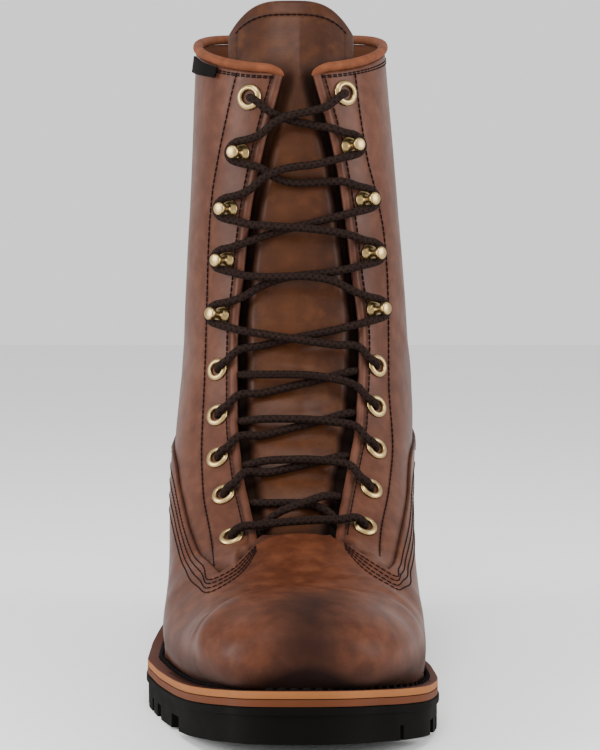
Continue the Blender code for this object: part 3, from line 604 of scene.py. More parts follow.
# The vamp's edge round each flap of the quarters, as rows of the form and shares of its half
FlapPoint = namedtuple("FlapPoint", "row share")
slotEdge = {
    lateral: (FlapPoint(7.96, 0.0), FlapPoint(7.82, 0.066), FlapPoint(7.4, 0.128), FlapPoint(6.66, 0.209),
              FlapPoint(6.36, 0.303)),
    medial: (FlapPoint(7.96, 0.0), FlapPoint(7.93, 0.05), FlapPoint(7.75, 0.134), FlapPoint(7.11, 0.25),
             FlapPoint(6.86, 0.39)),
}
seamEdge = {
    lateral: (FlapPoint(6.36, 0.303), FlapPoint(7.31, 0.362), FlapPoint(8.76, 0.428), FlapPoint(10.01, 0.472),
              FlapPoint(10.86, 0.49)),
    medial: (FlapPoint(6.86, 0.39), FlapPoint(7.4, 0.419), FlapPoint(8.96, 0.453), FlapPoint(10.36, 0.488),
             FlapPoint(11.2, 0.51)),
}
# The outermost stitch row round the flap, and the rows' places between the edge and it
outerSeam = {
    lateral: (FlapPoint(11.9, 0.66), FlapPoint(11.0, 0.615), FlapPoint(9.6, 0.562), FlapPoint(7.7, 0.497),
              FlapPoint(6.15, 0.427), FlapPoint(5.56, 0.345), FlapPoint(5.75, 0.26), FlapPoint(6.2, 0.19),
              FlapPoint(6.9, 0.135)),
    medial: (FlapPoint(12.2, 0.68), FlapPoint(11.2, 0.64), FlapPoint(9.8, 0.6), FlapPoint(8.1, 0.552),
             FlapPoint(6.5, 0.505), FlapPoint(6.08, 0.42), FlapPoint(6.18, 0.335), FlapPoint(6.45, 0.25),
             FlapPoint(7.1, 0.17)),
}
innerSeamRows = {lateral: (12.7, 11.7, 10.4, 8.7, 7.2), medial: (12.9, 11.9, 10.6, 9.0, 7.5)}
innerSeamEnd = {
    lateral: (FlapPoint(6.33, 0.303), FlapPoint(6.42, 0.255), FlapPoint(6.63, 0.209), FlapPoint(7.3, 0.135)),
    medial: (FlapPoint(6.84, 0.392), FlapPoint(6.9, 0.325), FlapPoint(7.05, 0.25), FlapPoint(7.6, 0.16)),
}
seamShares = (0.3, 0.53, 0.77, 1.0)

layerTop = rowAtBack(110.4)
layerRows, layerShare = {}, {}
for side in sideNames:
    knots = seamEdge[side]
    layerRows[side] = np.linspace(knots[0].row, layerTop, 190)
    t = layerRows[side]
    front = track([k.row for k in knots], [k.share for k in knots])(np.minimum(t, knots[-1].row))
    rear = edgeShare(t, side)
    share = front + (rear - front) * smoothStep(t, knots[-1].row - 0.2, knots[-1].row + 1.6)
    soft = np.convolve(share, np.ones(9) / 9, "valid")
    share[4:-4] = soft + (share[4:-4] - soft) * (t[4:-4] < knots[-1].row)
    share[-1] = 1.0
    layerShare[side] = share


def throatArc(v, side):
    # the vamp's edge from the throat's middle to the flap's tip, as a row of the form
    knots = slotEdge[side]
    return track([k.share for k in knots], [k.row for k in knots])(np.minimum(np.abs(v), knots[-1].share))


edgeLines, seamLines, slotLines = {}, {}, {}
for side in sideNames:
    v = np.linspace(0, layerShare[side][0], 80)
    front = form(throatArc(v, side), side * v)
    rear = form(layerRows[side], side * layerShare[side])
    edgeLines[side] = resample(np.concatenate([front[:-1], rear]), 0.5)
    seamLines[side] = resample(rear, 0.5)
    slotLines[side] = resample(front[v > 0.42 * layerShare[side][0]], 0.4)


def throatLine(side):
    t = np.linspace(last["throatRow"], last["topRow"], 500)
    return resample(form(t, side * throatShare(t, side)), 0.4)


throatLines = {side: throatLine(side) for side in sideNames}


def makeFormTree():
    rows, columns = 260, 320
    t, v = np.linspace(0.05, last["topRow"], rows)[:, None], np.linspace(-1, 1, columns)[None, :]
    points = form(t, v).reshape(-1, 3)
    tree = BVHTree.FromPolygons([Vector(p) for p in points], sheetFaces(rows, columns).tolist())
    where, normal = Vector(form(10.0, 0.4)), formNormal(10.0, 0.4)
    return tree, 1 if np.dot(tree.find_nearest(where)[1], normal) > 0 else -1


formTree, formSign = makeFormTree()


def onForm(points):
    # the nearest places on the form, and its outward normals there
    found = [formTree.find_nearest(Vector(point)) for point in points]
    return np.array([spot[0] for spot in found]), formSign * np.array([spot[1] for spot in found])


def sewnRow(line, offset, lift, first=0.0, final=1.0):
    # a row beside a line on the form; offset is across it, lift is over the form
    _, normals = onForm(line)
    across = unit(np.cross(normals, np.gradient(line, axis=0)))
    evenOut(across, 12)
    across = unit(across)
    spots, normals = onForm(line + offset * across)
    count = len(line)
    keep = slice(int(first * count), int(final * count))
    return (spots + lift * normals)[keep], normals[keep]


stitchSides = 6
stitch = {"pitch": 2.6, "length": 2.35, "radius": 0.3, "slant": 0.0}
weltStitch = {"pitch": 4.4, "length": 3.5, "radius": 0.8, "slant": 0.5}
StitchPoint = namedtuple("StitchPoint", "along thick rise")
stitchProfile = (
    StitchPoint(-0.5, 0.3, -0.5), StitchPoint(-0.42, 0.85, -0.1), StitchPoint(-0.2, 1.0, 0.2),
    StitchPoint(0.2, 1.0, 0.2), StitchPoint(0.42, 0.85, -0.1), StitchPoint(0.5, 0.3, -0.5),
)


def makeStitches(name, rows, material, size=stitch):
    length, radius, slant = size["length"], size["radius"], size["slant"]
    angle = np.arange(stitchSides) * 2 * math.pi / stitchSides
    points, faces, count = [], [], 0
    block = sheetFaces(len(stitchProfile), stitchSides, wrap=True)
    for line, normals in rows:
        both = resample(np.concatenate([line, normals], axis=1), size["pitch"])
        for here, there in zip(both[:-1], both[1:]):
            middle, normal = (here[:3] + there[:3]) / 2, unit((here[3:] + there[3:]) / 2)
            ahead = unit(there[:3] - here[:3])
            across = np.cross(ahead, normal)
            ahead, across = unit(ahead + slant * across), unit(across - slant * ahead)
            for along, thick, rise in stitchProfile:
                centre = middle + ahead * along * length + normal * rise * radius
                ring = np.cos(angle)[:, None] * across + np.sin(angle)[:, None] * normal
                points.append(centre + ring * radius * thick)
            faces.append(block + count)
            count += len(stitchProfile) * stitchSides
    return makePiece(name, np.concatenate(points), np.concatenate(faces), material)


def makeQuarters():
    hidden = np.linspace(0, last["throatRow"], quarters["rowsHidden"], endpoint=False)
    flap = np.linspace(last["throatRow"], quarters["flapTop"], quarters["rowsFlap"], endpoint=False)
    shaft = np.linspace(quarters["flapTop"], last["topRow"], quarters["rowsShaft"])
    t = np.concatenate([hidden, flap, shaft])
    halves, faces, count = [], [], 0
    for side in sideNames:
        opening = throatShare(t, side)[:, None]
        slot = np.linspace(0, 1, quarters["slotColumns"], endpoint=False)[None, :] * opening
        rest = opening + (1 - opening) * np.linspace(0, 1, quarters["columns"])[None, :] ** quarters["crowd"]
        v = np.concatenate([slot, rest], axis=1)
        tt = np.broadcast_to(t[:, None], v.shape)
        halves.append((side, tt, v))
        grid = sheetFaces(*v.shape)
        row, columnNumber = grid[:, 0] // v.shape[1], grid[:, 0] % v.shape[1]
        keep = ~((t[row] >= last["throatRow"]) & (columnNumber < quarters["slotColumns"]))
        grid = grid[keep] if side == medial else grid[keep][:, ::-1]
        faces.append(grid + count)
        count += v.size
    outer, inner, masks = [], [], []
    for side, tt, v in halves:
        base, normal = form(tt, side * v), formNormal(tt, side * v)
        base[0], normal[0] = base[0, 0], (0, 1, 0)
        throat = distanceTo(base, throatLines[side])
        edge = distanceTo(base, edgeLines[side])
        slot = distanceTo(base, slotLines[side])
        opened = tt >= last["throatRow"] - 0.01
        q = quarters
        bead = q["beadHigh"] * bump(throat, q["beadPlace"], 1.3)
        bead = bead - q["beadWide"] * (1 - quarterRound(throat, q["beadWide"]))
        lift = np.where(opened, bead - q["grooveDeep"] * bump(throat, q["beadGroove"], 0.5), 0.0)
        eyestay = np.abs(base[..., 0] - eyestayHalf[side](np.clip(base[..., 2], 52, 259)))
        ahead = v < quarterShare(tt, side) * 0.99
        seam = np.where(ahead & opened & (base[..., 2] < 259), bump(eyestay, 0, 0.7), 0)
        lift = lift - q["seamDeep"] * seam
        lift = lift + q["lipHigh"] * bump(slot, q["lipPlace"], 1.1) - q["slotDeep"] * bump(slot, 0, 1.0)
        outer.append((base + lift[..., None] * normal).reshape(-1, 3))
        inner.append((base - last["wall"] * normal).reshape(-1, 3))
        shade = 0.55 * bump(throat, q["beadGroove"], 0.6) * opened + 0.35 * seam
        shade = np.clip(shade + 0.6 * bump(edge, 0, 1.2) + 1.4 * bump(slot, 0, 1.3), 0, 1)
        masks.append(shade.reshape(-1))
    outer, inner = np.concatenate(outer), np.concatenate(inner)
    points, faces, first = closeShell(outer, inner, np.concatenate(faces))
    shade = np.concatenate(masks)[first]
    shade = np.concatenate([shade, np.zeros(len(first))])
    piece = makePiece("quarters", points, faces, quarterLeather, ("upper",),
                      {"shade": shade, "gold": np.zeros(len(shade))})
    piece.data.materials.append(liningLeather)
    lining = np.zeros(len(piece.data.polygons), np.int32)
    half = len(first)
    for polygon in piece.data.polygons:
        if min(polygon.vertices) >= half:
            lining[polygon.index] = 1
    piece.data.polygons.foreach_set("material_index", lining)
    return piece


# Vamp and counter: the layer over the quarters, with its rounded edge

vamp = {"rows": 120, "columns": 90, "throatColumns": 34, "rowCrowd": 0.8, "crowd": 1.5,
        "edgeRound": 1.1, "under": 0.4, "overWelt": 0.1}
Crease = namedtuple("Crease", "x s")
valley = (Crease(-48, 292), Crease(-28.7, 261.9), Crease(-14.3, 248), Crease(1.1, 243.5), Crease(16.8, 234.5),
          Crease(32.6, 230), Crease(48, 238))
valleyAt = column(valley, "s", "x")


def toeRelief(base):
    # the valley behind the toe's dome, and two soft folds behind it
    ahead = base[..., 1] - valleyAt(np.clip(base[..., 0], -48, 48))
    upper = smoothStep(base[..., 2], 36, 50)
    dome = 2.4 * bump(ahead, 15, 12) * smoothStep(base[..., 2], 33, 46)
    folds = 0.8 * bump(ahead, -1, 5.5) + 0.35 * bump(ahead + 0.06 * base[..., 0], -14, 3.2)
    folds = folds + 0.3 * bump(ahead - 0.1 * base[..., 0], -24, 3.6)
    return dome - folds * upper + 0.35 * bump(ahead, -8, 3.0) * upper


def toeShade(base, t):
    ahead = base[..., 1] - valleyAt(np.clip(base[..., 0], -48, 48))
    dome = 0.8 * smoothStep(ahead, 15, 38) * bump(base[..., 0], 3, 14)
    foot = 0.75 * (1 - smoothStep(base[..., 2], 29, 40)) * (1 - smoothStep(t, 3, 8))
    return dome + foot + 0.3 * bump(ahead, 4, 5) * bump(base[..., 0], 0, 34)


def makeVamp():
    rowShare = np.linspace(0, 1, vamp["rows"])[:, None] ** vamp["rowCrowd"]
    outer, under, masks, faces, count = [], [], [], [], 0
    for side in sideNames:
        start = layerShare[side][0]
        k = np.linspace(0, 1, vamp["columns"]) ** vamp["crowd"]
        ahead = np.linspace(0, start, vamp["throatColumns"], endpoint=False)
        v = np.concatenate([ahead, start + (1 - start) * k])
        tA = rowShare * throatArc(v, side)[None, :]
        vA = np.broadcast_to(v[None, :], tA.shape)
        tB = layerRows[side][1:]
        vB = layerShare[side][1:, None] + (1 - layerShare[side][1:, None]) * k[None, :]
        blocks = [(tA, vA), (np.broadcast_to(tB[:, None], vB.shape), vB)]
        numbers = []
        for tt, vv in blocks:
            numbers.append(np.arange(tt.size).reshape(tt.shape) + count)
            count += tt.size
            base, normal = form(tt, side * vv), formNormal(tt, side * vv)
            if tt is tA:
                base[0], normal[0] = base[0, 0], (0, 1, 0)
            edge = distanceTo(base, edgeLines[side])
            lift = last["layer"] * quarterRound(edge, vamp["edgeRound"]) + toeRelief(base)
            top = base + lift[..., None] * normal
            low = base - vamp["under"] * normal
            onWelt = (vv > 0.999) & (tt < last["heelRow"])
            top[..., 2] = np.where(onWelt, seat(base[..., 1]) + vamp["overWelt"], top[..., 2])
            outer.append(top.reshape(-1, 3))
            under.append(low.reshape(-1, 3))
            shade = np.clip(0.7 * bump(edge, 0, 0.5) + toeShade(base, tt), 0, 1)
            masks.append(shade.reshape(-1))
            grid = sheetFaces(*tt.shape).reshape(-1, 4)
            faces.append(numbers[-1].reshape(-1)[grid if side == medial else grid[:, ::-1]])
        # the strip that joins the two blocks
        top, bottom = numbers[0][-1, vamp["throatColumns"]:], numbers[1][0]
        strip = np.stack([top[:-1], top[1:], bottom[1:], bottom[:-1]], axis=1)
        faces.append(strip if side == medial else strip[:, ::-1])
    points, faces, first = closeShell(np.concatenate(outer), np.concatenate(under), np.concatenate(faces))
    shade = np.concatenate(masks)[first]
    shade = np.concatenate([shade, shade])
    return makePiece("vampAndCounter", points, faces, vampLeather, (),
                     {"shade": shade, "gold": np.zeros(len(shade))})


# Tongue

tongue = {"drop": 3.0, "thick": 3.0, "half": 31.0, "topHalf": 30.5, "arch": 15.0, "power": 3.3, "lean": 13.0,
          "top": 291.0, "edgeRound": 1.2, "rows": 330, "topRows": 50, "columns": 84, "seamPoints": 120}


def tongueForm(t, share, rise, drop):
    half = tongue["half"] + (tongue["topHalf"] - tongue["half"]) * rise
    half = half * np.minimum(1.0, 0.75 + 0.25 * np.maximum(0.0, (t - last["throatRow"] + 1) / 3))
    x = section["ridge"](t) + share * half
    v = np.where(share < 0, -shareAt(t, lateral, x), shareAt(t, medial, x))
    point = lifted(t, v, -drop)
    height = tongue["top"] - tongue["arch"] * np.abs(share) ** tongue["power"] - point[..., 2]
    point[..., 1] -= tongue["lean"] * rise
    point[..., 2] += height * rise
    return point


def inFromThroat(points):
    # how far a place lies inside the throat's edge at its own height
    z = np.clip(points[..., 2], throatRows[0].z, throatRows[-1].z)
    half = np.where(points[..., 0] < 0, -throatHalf[lateral](z), throatHalf[medial](z))
    return half - np.abs(points[..., 0])


def tonguePuff(points, share, rise):
    # the leather swells between the lace's crossings, and folds a little along its middle
    z = points[..., 2]
    crossings = [(a.z + b.z) / 2 for a, b in zip(pairs, pairs[1:])]
    pinch = sum(bump(z, height, 3.2) for height in crossings)
    slant = sum(bump(z + 0.10 * points[..., 0] * (-1) ** n, height - 8.5, 1.6)
                for n, height in enumerate(crossings))
    middle = np.clip(1 - (share / 0.55) ** 2, 0, 1)
    beside = smoothStep(inFromThroat(points), 7.5, 0.5)
    dip = 1.0 * pinch * (0.35 + 0.65 * middle) + 0.28 * slant * middle
    dip = dip + 3.6 * beside * (1 - 0.75 * smoothStep(z, 245, 268))
    dip = dip + 0.5 * bump(points[..., 0], 2.0, 2.6) * smoothStep(z, 95, 130) * (1 - smoothStep(z, 225, 250))
    return dip * (1 - rise)


def makeTongue():
    count, top, across = tongue["rows"], tongue["topRows"], tongue["columns"]
    t = np.linspace(last["throatRow"] - 1, last["topRow"], count)
    t = np.concatenate([t, np.full(top, last["topRow"])])
    rise = np.concatenate([np.zeros(count), np.linspace(0, 1, top + 1)[1:]])
    share = np.linspace(-1, 1, across)
    tt, rr, ss = t[:, None] + 0 * share, rise[:, None] + 0 * share, share[None, :] + 0 * t[:, None]
    flat = tongueForm(tt, ss, rr, tongue["drop"] + 0 * tt)
    edge = np.minimum((1 - np.abs(ss)) * 30, np.where(rr > 0, (1 - rr) * 25, 30))
    rounding = 0.9 * (1 - quarterRound(edge, tongue["edgeRound"]))
    dip = tonguePuff(flat, ss, rr) + rounding
    dip = dip + 0.25 * bump(edge, 5.0, 0.5) * (rr > 0)
    outer = tongueForm(tt, ss, rr, tongue["drop"] + dip)
    inner = tongueForm(tt, ss, rr, tongue["drop"] + tongue["thick"] - rounding)
    points, faces, first = closeShell(outer.reshape(-1, 3), inner.reshape(-1, 3), sheetFaces(*tt.shape))
    z = flat[..., 2]
    beside = smoothStep(inFromThroat(flat), 8.0, 2.0) * (1 - smoothStep(z, 250, 268))
    shade = np.clip(0.95 * beside + 0.3 * bump(z, 60, 12) + 0.35 * bump(edge, 5.0, 0.6) * (rr > 0), 0, 1)
    shade = np.clip(shade + 0.55 * bump(z, 250, 9) * (rr < 0.3), 0, 1)
    # painted highlight down the tongue's middle, fading near its top
    gold = 0.5 * np.clip(1 - np.abs(ss + 0.15) * 1.6, 0, 1) * (1 - 0.5 * smoothStep(z, 235, 262))
    masks = {"shade": np.tile(shade.reshape(-1)[first], 2), "gold": np.tile(gold.reshape(-1)[first], 2)}
    return makePiece("tonguePiece", points, faces, tongueLeather, ("tongue",), masks)


def makeTongueStitches():
    count = tongue["seamPoints"]
    share = np.linspace(-0.86, 0.86, count)
    rise = 1 - 5.0 / 26 + 0 * share
    row, drop = np.full(count, float(last["topRow"])), np.full(count, tongue["drop"] - 0.05)
    line = tongueForm(row, share, rise, drop)
    line[:, 2] -= 3.5 * np.abs(share) ** 8
    normals = np.tile((0.0, 1.0, 0.1), (count, 1))
    makeStitches("tongueStitches", [(line, normals)], threadDark)


# Tubes, for the collar's roll and the lace

def tubeMesh(path, radius, sides, squash=1.0):
    path = np.asarray(path, float)
    ahead = unit(np.gradient(path, axis=0))
    across = np.cross(ahead[0], (0, 0, 1))
    across /= np.linalg.norm(across)
    points = []
    radius = np.broadcast_to(radius, len(path))
    for centre, direction, r in zip(path, ahead, radius):
        across = across - direction * np.dot(across, direction)
        across /= np.linalg.norm(across)
        third = np.cross(direction, across)
        angle = np.arange(sides) * 2 * math.pi / sides
        ring = np.cos(angle)[:, None] * across + squash * np.sin(angle)[:, None] * third
        points.append(centre + r * ring)
    faces = sheetFaces(len(path), sides, wrap=True).tolist()
    faces.append(list(range(sides))[::-1])
    faces.append(list(range((len(path) - 1) * sides, len(path) * sides)))
    return np.concatenate(points), faces


collar = {"radius": 2.3, "sides": 18, "squash": 0.9, "rise": 2.2, "step": 1.2, "points": 90,
          "bendLength": 8, "bendDrop": 3.2, "thinner": 0.14, "endRound": 2.4}


def collarPath():
    path, count = [], collar["points"]
    for side in (lateral, medial):
        opening = float(throatShare(np.array(float(last["topRow"])), side))
        v = opening + (1 - opening) * np.linspace(0, 1, count)
        points = lifted(np.full(count, float(last["topRow"])), side * v, np.full(count, -last["wall"] / 2))
        path.append(points if side == lateral else points[::-1][1:])
    return np.concatenate(path) + np.array((0, 0, collar["rise"]))


def makeCollar():
    # both ends of the roll bend down into the throat, and taper
    path = resample(collarPath(), collar["step"])
    far = np.linspace(0, (len(path) - 1) * collar["step"], len(path))
    far = np.minimum(far, far[::-1])
    bend = np.clip(1 - far / collar["bendLength"], 0, 1)
    path[:, 2] -= collar["bendDrop"] * bend ** 2
    tip = np.sqrt(np.clip(1 - np.clip(1 - far / collar["endRound"], 0, 1) ** 2, 0.15, 1))
    radius = collar["radius"] * tip * (1 - collar["thinner"] * bend)
    points, faces = tubeMesh(path, radius, collar["sides"], squash=collar["squash"])
    zeros = np.zeros(len(points))
    return makePiece("collarRoll", points, faces, rollLeather, ("collar_roll",),
                     {"shade": zeros, "gold": zeros})


# Sole

soleSizes = {"weltThick": 2.8, "midsoleThick": 2.5, "tanInset": 0.5, "step": 0.8, "treadDepth": 5.5,
             "stations": 130, "lugsStart": 146.0, "lugsEnd": 262.0, "lugStations": 80,
             "cutLow": -10, "cutHigh": 60}


def edgeSpots(side, s, height, inside, welts=0.0):
    return np.stack([soleEdge(side, s, inside, welts), s, height], axis=1)


def ringLoop(inside, welts, height, count):
    back = inside + welts * last["weltBack"]
    tip = last["soleLength"] - inside - welts * last["weltToe"]
    s = back + (tip - back) * (1 - np.cos(np.linspace(0, math.pi, count))) / 2
    right, left = [edgeSpots(side, s, seat(s) - height, inside, welts) for side in (medial, lateral)]
    return np.concatenate([right, left[::-1][1:-1]])


def makeRing(name, profile, material, replaced):
    loops = [ringLoop(*spot, soleSizes["stations"]) for spot in profile]
    points = np.concatenate(loops)
    faces = sheetFaces(len(loops) + 1, len(loops[0]), wrap=True) % len(points)
    return makePiece(name, points, faces, material, replaced, sharp=50)


def makeWelt():
    wall = last["layer"] + last["gap"] + last["wall"]
    thick = soleSizes["weltThick"]
    inset = soleSizes["tanInset"]
    # how far inside, whether from the sole's edge or the upper's, and how far below the welt's top
    rim = ((inset + 0.5, 0.0, 0.0), (inset + 0.12, 0.0, 0.15), (inset, 0.0, 0.5), (inset, 0.0, thick - 0.4),
           (inset + 0.15, 0.0, thick))
    foot = ((wall, 1.0, thick), (wall, 1.0, 0.0), (0.0, 1.0, 0.0))
    stitchGroove = ((-0.6, 1.0, 0.8), (-1.6, 1.0, 0.8), (-2.2, 1.0, 0.0))
    piece = makeRing("weltRing", rim + foot + stitchGroove, tanEdge, ("welt",))
    piece.data.materials.append(weltTop)
    for polygon in piece.data.polygons:
        polygon.material_index = 1 if polygon.normal.z > 0.6 else 0
    spots = ringLoop(-1.1, 1.0, -0.1, 400)
    spots = np.concatenate([spots, spots[:1]])
    line = resample(spots, 0.5)
    normals = np.tile((0.0, 0.0, 1.0), (len(line), 1))
    makeStitches("weltStitches", [(line, normals)], threadBlack, weltStitch)


def soleSlab(name, profile, material, replaced, start=None, stations=soleSizes["stations"]):
    # a slab under the whole sole, or from start to the toe
    rings = []
    for inside, height in profile:
        u = np.linspace(0, 1, stations)
        u = (1 - np.cos(math.pi * u)) / 2 if start is None else np.sin(math.pi / 2 * u)
        first, final = inside if start is None else start, last["soleLength"] - inside
        s = first + (final - first) * u
        rings.append(np.stack([edgeSpots(side, s, height(s), inside) for side in (lateral, medial)], axis=1))
    points = np.concatenate([ring.reshape(-1, 3) for ring in rings])
    size = stations * 2
    faces = []
    for number in (0, len(rings) - 1):
        for i in range(stations - 1):
            a = number * size + i * 2
            faces.append([a, a + 2, a + 3, a + 1])
    for number in range(len(rings) - 1):
        high, low = number * size, (number + 1) * size
        for i in range(stations - 1):
            for k in (0, 1):
                faces.append([high + 2 * i + k, high + 2 * i + 2 + k, low + 2 * i + 2 + k, low + 2 * i + k])
        if start is not None:
            faces.append([high, high + 1, low + 1, low])
    first, welded = weld(points, np.array(faces))
    return makePiece(name, points[first], tidyFaces(welded), material, replaced, sharp=35)


def makeMidsole():
    inset, top = soleSizes["tanInset"], soleSizes["weltThick"] + last["gap"]
    profile = ((inset, belowSeat(top)), (inset, belowSeat(top + soleSizes["midsoleThick"])))
    soleSlab("midsolePlate", profile, tanLower, ("midsole",))


def belowSeat(drop):
    return lambda s: seat(s) - drop


def tread(s):
    return np.where(s > 190, np.maximum(0.0, seat(s) - last["stack"]), 0.0)


def cutAway(piece, corners, low=soleSizes["cutLow"], high=soleSizes["cutHigh"]):
    # removes a block over a plan outline of (x, s) corners
    count = len(corners)
    points = [(x, s, low) for x, s in corners] + [(x, s, high) for x, s in corners]
    faces = [list(range(count)), list(reversed(range(count, 2 * count)))]
    faces += [[i, (i + 1) % count, count + (i + 1) % count, count + i] for i in range(count)]
    cutter = addObject("cutter", newMesh("cutter", place(points), faces))
    modifier = piece.modifiers.new("cut", "BOOLEAN")
    modifier.operation, modifier.object, modifier.solver = "DIFFERENCE", cutter, "EXACT"
    return cutter


def applyModifiers(piece, helpers=()):
    graph = bpy.context.evaluated_depsgraph_get()
    mesh = bpy.data.meshes.new_from_object(piece.evaluated_get(graph))
    piece.modifiers.clear()
    piece.data = mesh
    for helper in helpers:
        bpy.data.objects.remove(helper)


Groove = namedtuple("Groove", "lateral medial width")
grooves = (Groove(245, 258, 7.0), Groove(221, 236, 5.5), Groove(198, 214, 5.5), Groove(175, 192, 5.5))
grooveSpan, grooveReach = 108.0, 90      # across the tread, and past it on each side
slots = {"places": (-17.0, 15.0), "half": 2.2, "ahead": 14}
SideNotch = namedtuple("SideNotch", "side s width depth")
sideNotches = (
    SideNotch(lateral, 245, 15.0, 8.0),
    SideNotch(lateral, 209, 4.0, 5.0),
    SideNotch(lateral, 186, 4.0, 5.0),
    SideNotch(medial, 281, 3.5, 4.5),
    SideNotch(medial, 246, 3.5, 4.5),
    SideNotch(medial, 225, 4.0, 5.0),
)
notchShape = {"reach": 20, "taper": 0.6, "span": 5}
soft = {"width": 0.5, "segments": 2, "angle": 30}


def softEdges(piece):
    modifier = piece.modifiers.new("soft", "BEVEL")
    modifier.width, modifier.segments = soft["width"] * mm, soft["segments"]
    modifier.limit_method, modifier.angle_limit = "ANGLE", math.radians(soft["angle"])
    modifier.harden_normals = True


def makeOutsole():
    tan = soleSizes["weltThick"] + last["gap"] + soleSizes["midsoleThick"] + last["gap"]
    base = last["stack"] - soleSizes["treadDepth"]
    step = soleSizes["step"]
    edge = ((0.3, belowSeat(tan)), (0.0, belowSeat(tan + 0.35)), (0.0, belowSeat(tan + 2.6)))
    mouldStep = ((step, belowSeat(tan + 3.1)), (step, belowSeat(base)))
    soleSlab("outsoleBase", edge + mouldStep, rubber, ("outsole",))
    lugs = soleSlab("lugs", ((step, belowSeat(base - 1.5)), (step, tread)), rubber, (),
                    start=soleSizes["lugsStart"], stations=soleSizes["lugStations"])
    outlines = []
    for groove in grooves:
        slant = (groove.medial - groove.lateral) / grooveSpan
        middle = (groove.medial + groove.lateral) / 2
        outlines.append([(x * grooveReach, middle + slant * x * grooveReach + edge * groove.width / 2)
                         for x, edge in ((-1, -1), (1, -1), (1, 1), (-1, 1))])
    start, end, half = soleSizes["lugsStart"] + slots["ahead"], soleSizes["lugsEnd"], slots["half"]
    for x in slots["places"]:
        outlines.append([(x - half, start), (x + half, start), (x + half, end), (x - half, end)])
    for notch in sideNotches:
        edge = float(soleEdge(notch.side, notch.s, step))
        reach, half, span = notch.side * notchShape["reach"], notch.width / 2, notchShape["span"]
        ahead, behind = soleEdge(notch.side, notch.s + span, step), soleEdge(notch.side, notch.s - span, step)
        shift = float(ahead - behind) / (2 * span) * reach * 0.5
        inner, narrow = edge - notch.side * notch.depth, half * notchShape["taper"]
        outlines.append([(inner, notch.s - narrow), (edge + reach, notch.s - half - shift),
                         (edge + reach, notch.s + half - shift), (inner, notch.s + narrow)])
    helpers = [cutAway(lugs, corners) for corners in outlines]
    softEdges(lugs)
    applyModifiers(lugs, helpers)


heel = {"breast": 76.0, "taper": 2.5, "rake": 7.0, "waist": 22.0, "waistInset": 0.6, "waistRake": 3.0,
        "stations": 60, "grooves": (24.0, 48.0), "grooveHalf": 2.5, "grooveReach": 60}


def makeHeel():
    base = last["stack"] - soleSizes["treadDepth"] + last["gap"]
    rings = []
    for height, inside, breast in (
            (belowSeat(base), soleSizes["step"], heel["breast"]),
            (lambda s: heel["waist"] + 0 * s, soleSizes["step"] + heel["waistInset"],
             heel["breast"] - heel["waistRake"]),
            (lambda s: 0.0 * s, heel["taper"], heel["breast"] - heel["rake"])):
        s = inside + (breast - inside) * (1 - np.cos(math.pi / 2 * np.linspace(0, 1, heel["stations"])))
        right, left = [edgeSpots(side, s, height(s), inside) for side in (medial, lateral)]
        rings.append(np.concatenate([right, left[::-1][:-1]]))
    size = len(rings[0])
    points = np.concatenate(rings)
    faces = sheetFaces(3, size, wrap=True).tolist()
    faces += [list(range(size)), list(range(2 * size, 3 * size))[::-1]]
    piece = makePiece("heelStack", points, faces, rubber, ("heel",), sharp=35)
    reach, half = heel["grooveReach"], heel["grooveHalf"]
    helpers = []
    for s in heel["grooves"]:
        corners = [(-reach, s - half), (reach, s - half), (reach, s + half), (-reach, s + half)]
        helpers.append(cutAway(piece, corners, high=soleSizes["treadDepth"]))
    softEdges(piece)
    applyModifiers(piece, helpers)


# Brass: turned outlines of radius and height over the leather

TurnPoint = namedtuple("TurnPoint", "radius height")
eyeletOutline = (
    TurnPoint(2.7, -1.7), TurnPoint(2.7, 0.7), TurnPoint(2.95, 1.2), TurnPoint(3.4, 1.45),
    TurnPoint(3.9, 1.4), TurnPoint(4.5, 1.1), TurnPoint(4.9, 0.75), TurnPoint(5.05, 0.45),
    TurnPoint(4.9, 0.2), TurnPoint(4.2, 0.15), TurnPoint(3.2, 0.1), TurnPoint(3.15, -1.7),
)
hookOutline = (
    TurnPoint(0.0, 0.0), TurnPoint(4.2, 0.0), TurnPoint(4.3, 0.3), TurnPoint(4.0, 0.8), TurnPoint(2.6, 1.2),
    TurnPoint(1.7, 1.7), TurnPoint(1.5, 2.6), TurnPoint(1.5, 4.6), TurnPoint(1.8, 5.4), TurnPoint(2.5, 5.9),
    TurnPoint(2.75, 6.5), TurnPoint(2.75, 8.0), TurnPoint(2.55, 8.5), TurnPoint(2.1, 8.75),
    TurnPoint(0.0, 8.8),
)


def turnedMesh(name, outline, closed, sides=40):
    points = []
    for i in range(sides):
        angle = 2 * math.pi * i / sides
        points += [(p.radius * math.cos(angle), p.radius * math.sin(angle), p.height) for p in outline]
    points = np.array(points)
    count = len(outline)
    faces = []
    for i in range(sides):
        here, there = i * count, (i + 1) % sides * count
        for k in range(count if closed else count - 1):
            following = (k + 1) % count
            faces.append([here + k, there + k, there + following, here + following])
    first, welded = weld(points, np.array(faces))
    mesh = newMesh(name, points[first] * mm, tidyFaces(welded))
    mesh.shade_smooth()
    mesh.set_sharp_from_angle(angle=math.radians(60))
    mesh.materials.append(brass)
    return mesh


def heightOf(pair, side):
    return pair.z + (pair.rise if side == medial else 0)


def hardwareSpots():
    for number, pair in enumerate(pairs, start=1):
        for side, label in sideNames.items():
            t, v = frontSpot([getattr(pair, label)], [heightOf(pair, side)])
            yield number, pair, label, form(t, v)[0], formNormal(t, v)[0]


